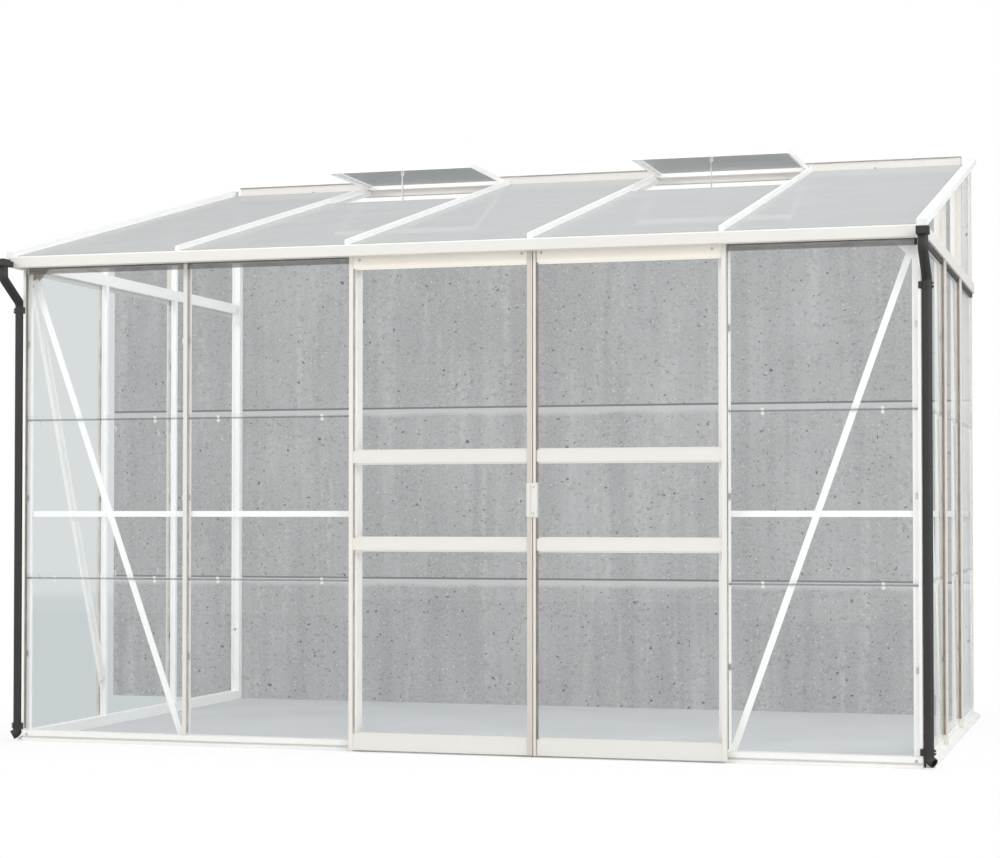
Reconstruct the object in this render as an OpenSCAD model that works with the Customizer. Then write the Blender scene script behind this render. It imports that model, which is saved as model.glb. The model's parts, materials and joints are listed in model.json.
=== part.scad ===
// Lean-to greenhouse: white aluminium frame, single glass, two sliding doors, two roof vents.
// X runs along the wall, Y from the front towards the wall, Z up from the ground.
// Inside the modules Y = 0 is the plane that the front glass seats on.

/* [Layout] */
// Pitch of the glazed front bays
bay_w = 618; // [580:2:660]
// Pitch of the two door leaves
door_w = 634; // [600:2:680]
// Pitch of the gable bays
side_bay = 622; // [580:2:660]
// Height of the front wall up to the eaves beam
front_h = 1661; // [1600:1:1760]
// Slope of the roof in degrees
roof_pitch = 13.8; // [12:0.2:16]
// Height of the base sills
sill_h = 37; // [34:1:44]

/* [Glazing bars] */
// Width of the outer fin of a bar
fin_w = 14; // [12:0.5:16]
// Depth of the outer fin of a wall bar
fin_d = 18; // [15:0.5:20]
// Depth of the outer fin of a gable bar
gable_fin_d = 23; // [18:0.5:25]
// Width of the flange that the glass seats on
flange_w = 30; // [26:1:36]
// Thickness of that flange
flange_t = 2; // [1.6:0.1:2.5]
// Width of the inner box of a bar
box_w = 16; // [12:1:20]
// Depth of the inner box of a bar
box_d = 17; // [14:1:22]
// Wall of every hollow bar
wall_t = 1.6; // [1.2:0.1:2]
// Height of the fins on the roof
roof_fin = 20; // [16:1:24]

/* [Glass] */
// Thickness of the glass
glass_t = 3; // [2.5:0.1:4]
// Gap between glass and its seat
seat_gap = 0.5; // [0.3:0.1:1]
// Gap between the edge of the glass and a fin
edge_gap = 1.5; // [1:0.1:2.5]
// Height of the first glass lap
lap_low = 582; // [520:1:640]
// Height of the second glass lap
lap_high = 1137; // [1080:1:1200]
// Overlap of two panes at a lap
lap = 12; // [8:1:16]
// How far the foot of a pane stands out over the pane below
lap_out = 3.4; // [3.4:0.1:4.5]

/* [Eaves] */
// Overhang of the eaves beam in front of the glass
eaves_out = 92; // [90:1:100]
// Height of the roof glass seat above the beam's underside at its front
eaves_rise = 33.5; // [30:0.5:40]
// Inside width of the gutter
gutter_w = 38; // [34:1:40]
// Wall of the eaves beam and gutter
beam_t = 2; // [1.6:0.1:2.4]

/* [Doors] */
// Depth of a door leaf
leaf_d = 20; // [18:1:22]
// Gap between the wall fins and a door leaf
leaf_gap = 7; // [6:0.5:9]
// Height of the bottom rail of a leaf
rail_bottom = 54; // [45:1:70]
// Height of the other rails of a leaf
rail_h = 40; // [30:1:60]
// Underside of the lower middle rail
rail_low_z = 677; // [600:1:720]
// Underside of the upper middle rail
rail_high_z = 968; // [900:1:1040]
// Height of the handle plate
handle_h = 112; // [90:1:140]
// Rolling radius of the hanger wheels
wheel_r = 9; // [8:0.25:10]
// Radius of the wheel axles
axle_r = 3; // [2.5:0.1:3.5]
// Distance from a leaf's edge to its hanger
hanger_in = 40; // [32:1:80]

/* [Roof vents] */
// Length of a vent from its hinge to its front edge
vent_len = 490; // [440:2:540]
// Depth of a vent frame
vent_t = 20; // [18:1:22]
// Gap between a vent and the roof fins beside it
vent_gap = 2; // [1.5:0.1:3]
// Radius of the hinge and stay pins
pin_r = 3; // [2.5:0.1:3.4]
// Length of a stay below its pivot
stay_len = 250; // [200:1:300]
// Width of a stay
stay_w = 12; // [10:1:12]
// Pitch of the holes in a stay
stay_pitch = 25; // [20:1:30]

/* [Rainwater pipes] */
// Outside radius of the downpipes
pipe_r = 16; // [14:0.5:16]
// Wall of the rainwater parts
pipe_t = 2; // [1.5:0.1:2.5]

/* [Fixings] */
// Radius of the holes for ground and wall screws
screw_r = 4.5; // [3:0.1:5]
// Radius of the bolt heads
bolt_r = 5; // [4:0.5:6]
// Height of the bolt heads
bolt_h = 3.5; // [2.5:0.1:4.5]

/* [Hidden] */

WHITE = [0.95, 0.94, 0.92];
GLASS = [0.78, 0.85, 0.84, 0.35];
DARK = [0.2, 0.19, 0.18];
STEEL = [0.7, 0.7, 0.68];

// Small clearance where one piece runs past another
slack = 0.5;
far = 5000;
// Length added to a run that another cut trims
overrun = 100;

// Front layout along X
half_w = (3 * bay_w + 2 * door_w) / 2;
x_bar = -half_w + bay_w;
x_jamb_l = -half_w + 2 * bay_w;
x_meet = x_jamb_l + door_w;
x_jamb_r = half_w - bay_w;
// Corner posts and gable plane
corner_fin = 10;
corner_step = 4;
gable_x = half_w + corner_step;
corner_box = 21;
corner_seat = 29;
corner_d = 20;
// Depth along Y
corner_inset = 12;
wall_inset = 36;
post_d = 32;
post_seat = 16;
post_out = 8;
y_wall = 3 * side_bay - corner_inset + wall_inset;
y_post = y_wall - post_d;
y_gable_bars = [side_bay - corner_inset, 2 * side_bay - corner_inset];
ridge_d = 28;
y_ridge = y_wall - ridge_d;

// Sills
sill_front = 16;
sill_back = 24;
groove_z0 = 11.5;
groove_z1 = 19.5;
groove_d = 8;
side_sill_out = 35;
sill_ledge = 20;
fin_foot = 1.5;
sill_toe = 8;

// Roof plane, given by the underside of the glass seat flange
seat_z0 = front_h + eaves_rise;
seat_drop = flange_t / cos(roof_pitch);
function roof_z(y) = seat_z0 + (y + eaves_out) * tan(roof_pitch);
function under_z(y) = roof_z(y) - seat_drop;
function along(y) = (y + eaves_out) / cos(roof_pitch);
web_t = 2.5;
seat_play = 0.02;
beam_back = 18;
beam_front = 14;
gutter_back = -eaves_out + beam_t + gutter_w;
fascia_lip = 4;
beam_end = 16.5;
beam_x = gable_x + beam_end;
cap_t = 2.5;
seal_drop = 18;
seal_rise = 14;
gable_seal_in = 4.5;
gable_seal_t = 10;
gable_seal_drop = 13;
rafter_in = 6;
rafter_out = 28;
rafter_lip = 18;
roof_front = -eaves_out + 2.5;
// Where the hollow of a roof member starts, behind its closed front end
end_wall = 10;
pane_front = -eaves_out + 17;
ridge_gap = 4;
bar_h = 57;
ridge_top = roof_z(y_ridge) + 32.5;

// Gable rails
rail_gap = 3;
eaves_rail_z = front_h + rail_gap;
eaves_rail_h = 40;
eaves_rail_out = 22;
eaves_rail_in = 19;
mid_z = 788;
mid_h = 20;
mid_y = 6;
mid_d = 10;
brace_w = 22;
brace_t = 3;
brace_y = flange_t + slack;
brace_in = 35;
brace_drop = 36;
brace_foot_in = 20;
gable_top_in = 30;
gable_foot_in = 10;
gable_foot_z = 143;
gusset = 69;
// Places of the bolt heads: from a bar, from the corner post's box and along a brace
rail_bolt_in = 12;
gusset_bolts = [[10, 50], [12, 16], [45, 10]];
brace_bolt = 0.015;
sill_bolt_in = 20;
sill_bolt_drop = 12;
sill_bolt_h = 2;

// Doors
leaf_back = -fin_d - leaf_gap;
leaf_front = leaf_back - leaf_d;
leaf_z0 = 8;
leaf_z1 = front_h + 7;
meet_gap = 3;
stile_wide = 18;
stile_narrow = 12;
rail_y0 = leaf_front + 3;
rail_y1 = leaf_back - 4;
pane_y = leaf_front + 8;
pane_groove = 5;
rail_top = 45;
groove_play = 0.5;
lip = 5;
track_z = front_h + 11.5;
track_t = 2;
track_y1 = -38;
bead_w = 3;
bead_h = 1.5;
wheel_w = 7;
wheel_flange = 1.2;
wheel_y = leaf_front + 1;
wheel_z = track_z + track_t + bead_h + wheel_r + 0.2;
wheel_play = 0.08;
x_leaf_l = [x_jamb_l - fin_w / 2, x_meet - meet_gap / 2];
x_leaf_r = [x_meet + meet_gap / 2, x_jamb_r + fin_w / 2];
travel = 590;
hanger_t = 3;
hanger_half = 12;
hanger_low = 38;
hanger_top = 10;
axle_head = 1.2;
axle_collar = 2;
guide_y = -fin_d + 1;
guide_w = 24;
handle_w = 36;
handle_t = 4;
handle_z = 787;
handle_side = 1.5;
handle_gap = 0.6;
grip_x = [6, 12];
grip_d = 8;

// Vents
vent_lift = 2.5;
vent_y = y_ridge - 16;
vent_z = roof_z(vent_y) + (vent_t / 2 + vent_lift) / cos(roof_pitch);
vent_heel = 6.5;
rear_bar = 16;
vent_wall = 3;
shelf_w = 20;
shelf_t = 3;
shelf_z = 2;
lug_t = 3;
lug_r = 5;
lug_gap = 1;
lug_back_gap = 1.5;
lug_in = 100;
pin_half = 12;
pin_play = 0.06;
stay_inset = 38;
stay_r = vent_len - stay_inset;
stay_drop = 18;
stay_t = 2.5;
ear_t = 3;
ear_r = 6;
ear_gap = 0.4;
stay_first = 16;
stay_last = 8;
tab_w = 30;
stay_hole = 2.75;
stay_pin = 2.7;
vent_sill_gap = 6;
vent_sill_y0 = vent_y - vent_len - vent_sill_gap;
vent_sill_w = 36;
vent_sill_t = 18;
// Clearance under a pane that rests on a shelf or sill
rest_gap = 0.3;
peg_tip = 0.8;
peg_hole = 4;
peg_len = 12;
peg_plate = 3;
peg_depth = 14;
peg_z_low = 8;
peg_z_high = 6;
peg_play = 0.2;

// Rainwater parts
pipe_out = 18;
pipe_x = gable_x + pipe_out;
pipe_y = -9;
hopper_reach = 68;
hopper_gap = 20;
hopper_y0 = -eaves_out - hopper_reach;
hopper_y1 = -eaves_out - hopper_gap;
hopper_z = front_h;
hopper_h = 24;
hopper_t = 2.5;
hopper_in = 19;
hopper_out = 20.5;
hopper_x = [pipe_x - hopper_in, pipe_x + hopper_out];
neck_out = 37;
neck_y = -eaves_out - neck_out;
neck_top = 29;
neck_angle = 57;
neck_bend = 24;
clip_drop = 156;
clip_high = front_h - clip_drop;
clip_low = 42;
clip_h = 22;
clip_t = 1.5;
clip_ear = 5;
clip_ear_in = 7.5;
clip_base = 4;
clip_knuckle = 6;
clip_step = 3;
clip_play = 0.2;
pipe_top = clip_high + clip_h / 2;
spout_r = 7;
spout_in = 10;
stub_half = 9;
stub_wall = 3;
shoe_tilt = 62;
shoe_bend = 20;
shoe_mouth = 10;
shoe_turn = 30;

// Anchors
anchor_x = gable_x + 22;
anchor_front = 200;
anchor_back = 190;
anchor_y = [anchor_front, y_wall - anchor_back];
fix_post_z = [300, 1900];
fix_bar_x = [1200, 400];

// Frame helpers
module placed() translate([0, -(y_wall + hopper_y0) / 2, 0]) children();
module both_sides() {
    children();
    mirror([1, 0, 0]) children();
}
module run_x(x0, x1) translate([x0, 0, 0]) rotate([90, 0, 90]) linear_extrude(x1 - x0) children();
module run_y(y0, y1) translate([0, y1, 0]) rotate([90, 0, 0]) linear_extrude(y1 - y0) children();
module run_z(z0, z1) translate([0, 0, z0]) linear_extrude(z1 - z0) children();
module rect(u0, u1, v0, v1) translate([u0, v0]) square([u1 - u0, v1 - v0]);
module box(x, y, z) translate([x[0], y[0], z[0]]) cube([x[1] - x[0], y[1] - y[0], z[1] - z[0]]);
module on_gable() translate([gable_x, 0, 0]) rotate([0, 0, 90]) children();
module on_roof() translate([0, -eaves_out, seat_z0]) rotate([roof_pitch, 0, 0]) children();
module plumb(y0, y1) intersection() {
    children();
    box([-far, far], [y0, y1], [0, far]);
}

// Section of a glazing bar: fin outside, seat flange, hollow box inside
module bar_section(left = flange_w / 2, right = flange_w / 2, fin = fin_d) difference() {
    union() {
        rect(-fin_w / 2, fin_w / 2, -fin, flange_t);
        rect(-left, right, 0, flange_t);
        rect(-box_w / 2, box_w / 2, 0, flange_t + box_d);
    }
    rect(-fin_w / 2 + wall_t, fin_w / 2 - wall_t, -fin + wall_t, 0);
    rect(-box_w / 2 + wall_t, box_w / 2 - wall_t, flange_t, flange_t + box_d - wall_t);
}
module hollow(u0, u1, v0, v1, t = wall_t) difference() {
    rect(u0, u1, v0, v1);
    rect(u0 + t, u1 - t, v0 + t, v1 - t);
}

// Base
module front_sill() placed() color(WHITE) run_x(-gable_x, gable_x) difference() {
    rect(-sill_front, sill_back, 0, sill_h);
    rect(-sill_front - 1, -sill_front + groove_d, groove_z0, groove_z1);
    difference() {
        rect(-sill_front + beam_t, sill_back - beam_t, beam_t, sill_h - beam_t);
        rect(-sill_front, -sill_front + groove_d + beam_t, groove_z0 - beam_t, groove_z1 + beam_t);
    }
}
module side_sills() placed() color(WHITE) both_sides() difference() {
    run_y(sill_back, y_wall) difference() {
        polygon([
            [gable_x - corner_seat, 0], [gable_x + side_sill_out, 0],
            [gable_x + side_sill_out, sill_toe], [gable_x + post_out, sill_ledge],
            [gable_x + post_out, sill_h], [gable_x - corner_seat, sill_h]
        ]);
        rect(gable_x - corner_seat + beam_t, gable_x + post_out - beam_t, beam_t, sill_h - beam_t);
    }
    for (y = anchor_y) translate([anchor_x, y, -1]) cylinder(r = screw_r, h = sill_h, $fn = 48);
}

// Uprights of the front
module corner_posts() placed() color(WHITE) both_sides() run_z(sill_h, front_h) difference() {
    union() {
        rect(gable_x - corner_fin, gable_x, -fin_d, flange_t);
        rect(gable_x - corner_seat, gable_x, 0, flange_t);
        rect(gable_x - corner_box, gable_x, 0, flange_t + corner_d);
    }
    rect(gable_x - corner_fin + wall_t, gable_x - wall_t, -fin_d + wall_t, 0);
    rect(gable_x - corner_box + wall_t, gable_x - wall_t, flange_t, flange_t + corner_d - wall_t);
}
module front_glazing_bar() placed() color(WHITE) translate([x_bar, 0]) run_z(sill_h, front_h) bar_section();
// The jamb flanges are wider on the doorway side, behind the edge of the leaf
module door_jambs() placed() color(WHITE) {
    translate([x_jamb_l, 0]) run_z(sill_h, front_h) bar_section(right = flange_w / 2 + 10);
    translate([x_jamb_r, 0]) run_z(sill_h, front_h) bar_section(left = flange_w / 2 + 10);
}

// Uprights of the gables
module under_roof() intersection() {
    children();
    run_x(-far, far) polygon([
        [-eaves_out, 0], [y_wall + 1, 0], [y_wall + 1, under_z(y_wall + 1)],
        [-eaves_out, under_z(-eaves_out)]
    ]);
}
// The foot of a gable fin hangs down over the outer face of the sill
module gable_bar() {
    run_z(sill_h, eaves_rail_z) bar_section(fin = gable_fin_d);
    run_z(sill_ledge + fin_foot, sill_h) intersection() {
        bar_section(fin = gable_fin_d);
        rect(-fin_w / 2, fin_w / 2, -gable_fin_d, -post_out - slack);
    }
}
module gable_bars() placed() color(WHITE) both_sides() for (y = y_gable_bars)
    on_gable() translate([y, 0, 0]) gable_bar();
module gable_upper_bars() placed() color(WHITE) both_sides() under_roof() for (y = y_gable_bars)
    on_gable() translate([y, 0, 0]) run_z(eaves_rail_z + eaves_rail_h, far) bar_section(fin = gable_fin_d);
module wall_posts() placed() color(WHITE) both_sides() difference() {
    under_roof() run_z(sill_h, far) {
        difference() {
            rect(gable_x - corner_seat, gable_x + post_out, y_post, y_wall);
            rect(gable_x - corner_seat + beam_t, gable_x + post_out - beam_t,
                y_post + beam_t, y_wall - beam_t);
        }
        rect(gable_x - flange_t, gable_x, y_post - post_seat, y_post + beam_t);
    }
    for (z = fix_post_z) translate([gable_x - (corner_seat - post_out) / 2, y_wall + 1, z])
        rotate([90, 0, 0]) cylinder(r = screw_r, h = post_d + 2, $fn = 48);
}

// Eaves beam: gutter, door track and hollow beam in one section
function web_z(y) = under_z(y) - seat_play;
module eaves_wall(y0) rect(y0, y0 + beam_t, front_h, under_z(y0) - web_t / 2);
module eaves_section() {
    rect(-eaves_out, -eaves_out + beam_t, front_h, seat_z0 + fascia_lip);
    rect(-eaves_out, gutter_back + beam_t, front_h, front_h + beam_t);
    eaves_wall(gutter_back);
    rect(gutter_back, track_y1, track_z, track_z + track_t);
    rect(wheel_y - bead_w / 2, wheel_y + bead_w / 2, track_z, track_z + track_t + bead_h);
    polygon([
        [gutter_back, web_z(gutter_back) - web_t], [beam_back, web_z(beam_back) - web_t],
        [beam_back, web_z(beam_back)], [gutter_back, web_z(gutter_back)]
    ]);
    eaves_wall(-beam_front);
    eaves_wall(beam_back - beam_t);
    rect(-beam_front, beam_back, front_h, front_h + beam_t);
}
module spout_hole(y0, h) translate([pipe_x - spout_in, y0, front_h + beam_t + spout_r + slack])
    rotate([-90, 0, 0]) cylinder(r = spout_r, h = h, $fn = 48);
module eaves_beam() placed() color(WHITE) difference() {
    run_x(-beam_x, beam_x) eaves_section();
    both_sides() spout_hole(-eaves_out - 1, beam_t + 2);
}
module gutter_end_caps() placed() color(WHITE) both_sides() run_x(beam_x, beam_x + cap_t) polygon([
    [-eaves_out, front_h], [beam_back, front_h], [beam_back, under_z(beam_back)],
    [-eaves_out, under_z(-eaves_out)]
]);
gable_seal_runs = [
    [beam_back, y_gable_bars[0] - fin_w / 2],
    [y_gable_bars[0] + fin_w / 2, y_gable_bars[1] - fin_w / 2],
    [y_gable_bars[1] + fin_w / 2, y_post - post_seat]
];
module eaves_seals() placed() color(DARK) {
    seal_y = [-beam_front - beam_t, -beam_front];
    seal_z = [front_h - seal_drop, front_h + seal_rise];
    box([-gable_x + corner_fin, x_bar - fin_w / 2], seal_y, seal_z);
    box([x_bar + fin_w / 2, x_jamb_l - fin_w / 2], seal_y, seal_z);
    box([x_jamb_r + fin_w / 2, gable_x - corner_fin], seal_y, seal_z);
    both_sides() for (b = gable_seal_runs) box(
        [gable_x + gable_seal_in, gable_x + gable_seal_in + gable_seal_t], b,
        [front_h - gable_seal_drop, eaves_rail_z]
    );
}
module door_stops() placed() color(DARK) {
    stop_w = 18;
    stop_y = [gutter_back + beam_t, track_y1];
    stop_z = [track_z + track_t + bead_h, track_z + track_t + 14];
    reach = travel + wheel_r + wheel_flange + slack;
    box([x_leaf_l[0] + hanger_in - reach - stop_w, x_leaf_l[0] + hanger_in - reach], stop_y, stop_z);
    box([x_meet - stop_w / 2, x_meet + stop_w / 2], stop_y, stop_z);
    box([x_leaf_r[1] - hanger_in + reach, x_leaf_r[1] - hanger_in + reach + stop_w], stop_y, stop_z);
}

// Roof frame
module gable_eaves_rails() placed() color(WHITE) both_sides() run_y(beam_back, y_post - post_seat)
    hollow(gable_x - eaves_rail_in, gable_x + eaves_rail_out, eaves_rail_z, eaves_rail_z + eaves_rail_h);
module end_rafters() placed() color(WHITE) both_sides() difference() {
    plumb(roof_front, y_wall) on_roof() run_y(-overrun, along(y_wall) + overrun) {
        rect(gable_x - rafter_in, gable_x + rafter_out, -flange_t, roof_fin);
        rect(gable_x - rafter_in - rafter_lip, gable_x - rafter_in, -flange_t, 0);
    }
    on_roof() run_y(end_wall, along(y_wall) + overrun)
        rect(gable_x - rafter_in + beam_t, gable_x + rafter_out - beam_t, 0, roof_fin - beam_t);
}
module roof_bars() placed() color(WHITE) for (x = [x_bar, x_jamb_l, x_meet, x_jamb_r])
    translate([x, 0, 0]) difference() {
        union() {
            plumb(roof_front, y_ridge) on_roof() run_y(-overrun, along(y_wall)) {
                rect(-flange_w / 2, flange_w / 2, -flange_t, 0);
                rect(-fin_w / 2, fin_w / 2, -flange_t, roof_fin);
            }
            plumb(beam_back, y_ridge) on_roof() run_y(-overrun, along(y_wall))
                rect(-box_w / 2, box_w / 2, -flange_t - box_d, 0);
        }
        on_roof() run_y(end_wall, along(y_wall)) {
            rect(-fin_w / 2 + wall_t, fin_w / 2 - wall_t, 0, roof_fin - wall_t);
            rect(-box_w / 2 + wall_t, box_w / 2 - wall_t, -flange_t - box_d + wall_t, -flange_t);
        }
    }
module wall_bar() placed() color(WHITE) difference() {
    run_x(-gable_x + corner_seat, gable_x - corner_seat)
        hollow(y_ridge, y_wall, ridge_top - bar_h, ridge_top, beam_t);
    both_sides() for (x = fix_bar_x) translate([x, y_wall + 1, ridge_top - bar_h / 2])
        rotate([90, 0, 0]) cylinder(r = screw_r, h = ridge_d + 2, $fn = 48);
}
module wall_flashing() placed() color(DARK)
    box([-gable_x + corner_seat, gable_x - corner_seat], [y_ridge - 3, y_wall], [ridge_top, ridge_top + 4]);
module vent_sill(x0, x1) plumb(vent_sill_y0, vent_sill_y0 + vent_sill_w) on_roof()
    run_y(0, along(y_ridge)) {
        rect(x0 + box_w / 2, x1 - box_w / 2, -flange_t - vent_sill_t, -flange_t);
        rect(x0 + flange_w / 2, x1 - flange_w / 2, -flange_t, -rest_gap);
    }
module vent_sills() placed() color(WHITE) {
    vent_sill(x_bar, x_jamb_l);
    vent_sill(x_meet, x_jamb_r);
}

// Rails, braces and gussets
module mid_rail(x0, x1, y0 = mid_y) run_x(x0, x1) hollow(y0, y0 + mid_d, mid_z, mid_z + mid_h);
module front_mid_rails() placed() color(WHITE) {
    mid_rail(-gable_x + corner_box, x_bar - box_w / 2);
    mid_rail(x_bar + box_w / 2, x_jamb_l - box_w / 2);
    mid_rail(x_jamb_r + box_w / 2, gable_x - corner_box);
}
module gable_mid_rails() placed() color(WHITE) both_sides() on_gable() {
    mid_rail(flange_t + corner_d, y_gable_bars[0] - box_w / 2);
    mid_rail(y_gable_bars[0] + box_w / 2, y_gable_bars[1] - box_w / 2);
    mid_rail(y_gable_bars[1] + box_w / 2, y_post);
}
// Flat brace between two points of the wall plane, cut square to the box u, v
module brace(p, q, u, v) {
    run = norm(q - p);
    side = [p[1] - q[1], q[0] - p[0]] / run * brace_w / 2;
    run_y(brace_y, brace_y + brace_t) intersection() {
        polygon([p + side, q + side, q - side, p - side]);
        rect(u[0], u[1], v[0], v[1]);
    }
}
brace_top = [-gable_x + brace_in, front_h - brace_drop];
brace_foot = [x_bar - brace_foot_in, sill_h + 1];
gable_top = [gable_top_in, front_h - brace_drop];
gable_foot = [y_gable_bars[0] - gable_foot_in, gable_foot_z];
module front_braces() placed() color(WHITE) both_sides()
    brace(brace_top, brace_foot, [-gable_x + corner_box, x_bar - box_w / 2], [sill_h, front_h]);
module gable_braces() placed() color(WHITE) both_sides() on_gable()
    brace(gable_top, gable_foot, [flange_t + corner_d, y_gable_bars[0] - box_w / 2], [sill_h, front_h]);
module corner_gussets() placed() color(WHITE) both_sides() {
    x1 = gable_x - corner_box;
    run_y(brace_y + brace_t, brace_y + 2 * brace_t)
        polygon([[x1, front_h], [x1 - gusset, front_h], [x1, front_h - gusset]]);
}

// Glass: each pane leans out at its foot, over the head of the pane below
lap_clip_in = 110;
lap_clip_w = 10;
lap_clip_down = 16;
lap_clip_up = 6;
lap_clip_play = 0.2;
sheet = 0.8;
clip_touch = 0.1;
spring_half = 10;
spring_leg = 1.2;
spring_d = 5;
spring_w = 9;
lap_z = [sill_h + 1, lap_low - lap / 2, lap_high - lap / 2, front_h - 2];
module leaning_pane(x0, x1, i) {
    z0 = lap_z[i];
    z1 = i < 2 ? lap_z[i + 1] + lap : lap_z[3];
    run_x(x0, x1) polygon([
        [-seat_gap, z1], [-seat_gap - glass_t, z1],
        [-seat_gap - glass_t - lap_out, z0], [-seat_gap - lap_out, z0]
    ]);
}
pane_in = fin_w / 2 + edge_gap;
front_bays = [
    [-gable_x + corner_fin + edge_gap, x_bar - pane_in],
    [x_bar + pane_in, x_jamb_l - pane_in],
    [x_jamb_r + pane_in, gable_x - corner_fin - edge_gap]
];
gable_bays = [
    [12, y_gable_bars[0] - pane_in],
    [y_gable_bars[0] + pane_in, y_gable_bars[1] - pane_in],
    [y_gable_bars[1] + pane_in, y_post - edge_gap]
];
module front_panes() placed() color(GLASS) for (b = front_bays, i = [0:2]) leaning_pane(b[0], b[1], i);
module upper_pane(y0, y1) {
    z0 = eaves_rail_z + eaves_rail_h + 2;
    drop = 4 + seat_drop;
    run_x(gable_x + seat_gap, gable_x + seat_gap + glass_t) polygon([
        [y0, z0], [y1, z0], [y1, roof_z(y1) - drop], [y0, roof_z(y0) - drop]
    ]);
}
module gable_panes() color(GLASS) {
    on_gable() for (b = gable_bays, i = [0:2]) leaning_pane(b[0], b[1], i);
    upper_pane(beam_back + 2, gable_bays[0][1]);
    for (i = [1, 2]) upper_pane(gable_bays[i][0], gable_bays[i][1]);
}
module right_gable_panes() placed() gable_panes();
module left_gable_panes() placed() mirror([1, 0, 0]) gable_panes();
module roof_pane(x0, x1, y1) on_roof() box(
    [x0, x1], [along(pane_front), along(y1)], [seat_gap, seat_gap + glass_t]
);
module roof_panes() placed() color(GLASS) {
    long = y_ridge - ridge_gap;
    short = vent_sill_y0 + 4;
    edge = gable_x - rafter_in - edge_gap;
    roof_pane(-edge, x_bar - pane_in, long);
    roof_pane(x_bar + pane_in, x_jamb_l - pane_in, short);
    roof_pane(x_jamb_l + pane_in, x_meet - pane_in, long);
    roof_pane(x_meet + pane_in, x_jamb_r - pane_in, short);
    roof_pane(x_jamb_r + pane_in, edge, long);
}

// Clips: a hook under the foot of each upper pane, and small springs beside the fins
function pane_face(i, z) = let (z1 = i < 2 ? lap_z[i + 1] + lap : lap_z[3])
    -seat_gap - glass_t - lap_out * (z1 - z) / (z1 - lap_z[i]);
module lap_clip(x, i) {
    z0 = lap_z[i];
    foot = z0 - lap_clip_play;
    back = pane_face(i - 1, z0 - lap_clip_down) - clip_touch;
    front = pane_face(i, z0) - rest_gap;
    run_x(x - lap_clip_w / 2, x + lap_clip_w / 2) {
        rect(back - sheet, back, z0 - lap_clip_down, foot);
        rect(front - sheet, back, foot - sheet, foot);
        rect(front - sheet, front, foot - sheet, z0 + lap_clip_up);
    }
}
module bay_lap_clips(b) for (i = [1, 2], x = [b[0] + lap_clip_in, b[1] - lap_clip_in]) lap_clip(x, i);
module lap_clips() placed() color(WHITE) {
    for (b = front_bays) bay_lap_clips(b);
    both_sides() on_gable() for (b = gable_bays) bay_lap_clips(b);
}
// dir is 1 where the pane lies on the +X side of the fin
module spring_clip(x, dir, i) {
    z = (lap_z[i] + lap_z[i + 1]) / 2;
    face = pane_face(i, z - spring_half) - clip_touch;
    translate([x, 0, 0]) mirror([dir < 0 ? 1 : 0, 0, 0]) run_z(z - spring_half, z + spring_half) {
        rect(0, spring_leg, face - spring_d, face);
        rect(0, spring_w, face - sheet, face);
    }
}
module bay_spring_clips(b) for (i = [0:2]) {
    spring_clip(b[0] - edge_gap, 1, i);
    spring_clip(b[1] + edge_gap, -1, i);
}
module glazing_clips() placed() color(STEEL) {
    for (b = front_bays) bay_spring_clips(b);
    both_sides() on_gable() for (b = [gable_bays[1]]) bay_spring_clips(b);
    both_sides() on_gable() for (i = [0:2]) spring_clip(gable_bays[0][1] + edge_gap, -1, i);
    both_sides() on_gable() for (i = [0:2]) spring_clip(gable_bays[2][0] - edge_gap, 1, i);
}

// Bolt heads on the inner faces; the axis points into the greenhouse
module head(x, y, z) translate([x, y, z]) rotate([-90, 0, 0]) cylinder(r = bolt_r, h = bolt_h, $fn = 6);
module rail_heads(x0, x1) for (x = [x0 + rail_bolt_in, x1 - rail_bolt_in])
    head(x, mid_y + mid_d, mid_z + mid_h / 2);
module brace_head(p, q, t) {
    spot = p + (q - p) * t;
    head(spot[0], brace_y + brace_t, spot[1]);
}
module frame_bolts() placed() color(STEEL) {
    both_sides() {
        translate([gable_x - sill_bolt_in, -sill_front, sill_h - sill_bolt_drop]) rotate([90, 0, 0])
            cylinder(r = bolt_r, h = sill_bolt_h, $fn = 6);
        for (d = gusset_bolts)
            head(gable_x - corner_box - d[0], brace_y + 2 * brace_t, front_h - d[1]);
        brace_head(brace_top, brace_foot, 1 - brace_bolt);
        on_gable() {
            brace_head(gable_top, gable_foot, brace_bolt);
            brace_head(gable_top, gable_foot, 1 - brace_bolt);
            rail_heads(flange_t + corner_d, y_gable_bars[0] - box_w / 2);
            rail_heads(y_gable_bars[0] + box_w / 2, y_gable_bars[1] - box_w / 2);
            rail_heads(y_gable_bars[1] + box_w / 2, y_post);
        }
    }
    rail_heads(-gable_x + corner_box, x_bar - box_w / 2);
    rail_heads(x_bar + box_w / 2, x_jamb_l - box_w / 2);
    rail_heads(x_jamb_r + box_w / 2, gable_x - corner_box);
}

// Rainwater parts on the right; the left ones are mirrored
module gutter_outlets() placed() color(DARK) both_sides() difference() {
    union() {
        box([hopper_x[0], hopper_x[1]], [hopper_y0, hopper_y1], [hopper_z, hopper_z + hopper_h]);
        box([pipe_x - spout_in - stub_half, pipe_x - spout_in + stub_half], [hopper_y1 - 1, -eaves_out],
            [front_h, front_h + beam_t + 2 * spout_r + stub_wall]);
    }
    box([hopper_x[0] + hopper_t, hopper_x[1] - hopper_t], [hopper_y0 + hopper_t, hopper_y1 - hopper_t],
        [hopper_z + pipe_t, hopper_z + hopper_h - pipe_t]);
    translate([pipe_x, neck_y, hopper_z - 1]) cylinder(r = pipe_r - pipe_t, h = 8, $fn = 48);
    spout_hole(hopper_y1 - 5, eaves_out);
}
module pipe_section() difference() {
    circle(r = pipe_r, $fn = 64);
    circle(r = pipe_r - pipe_t, $fn = 64);
}
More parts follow.
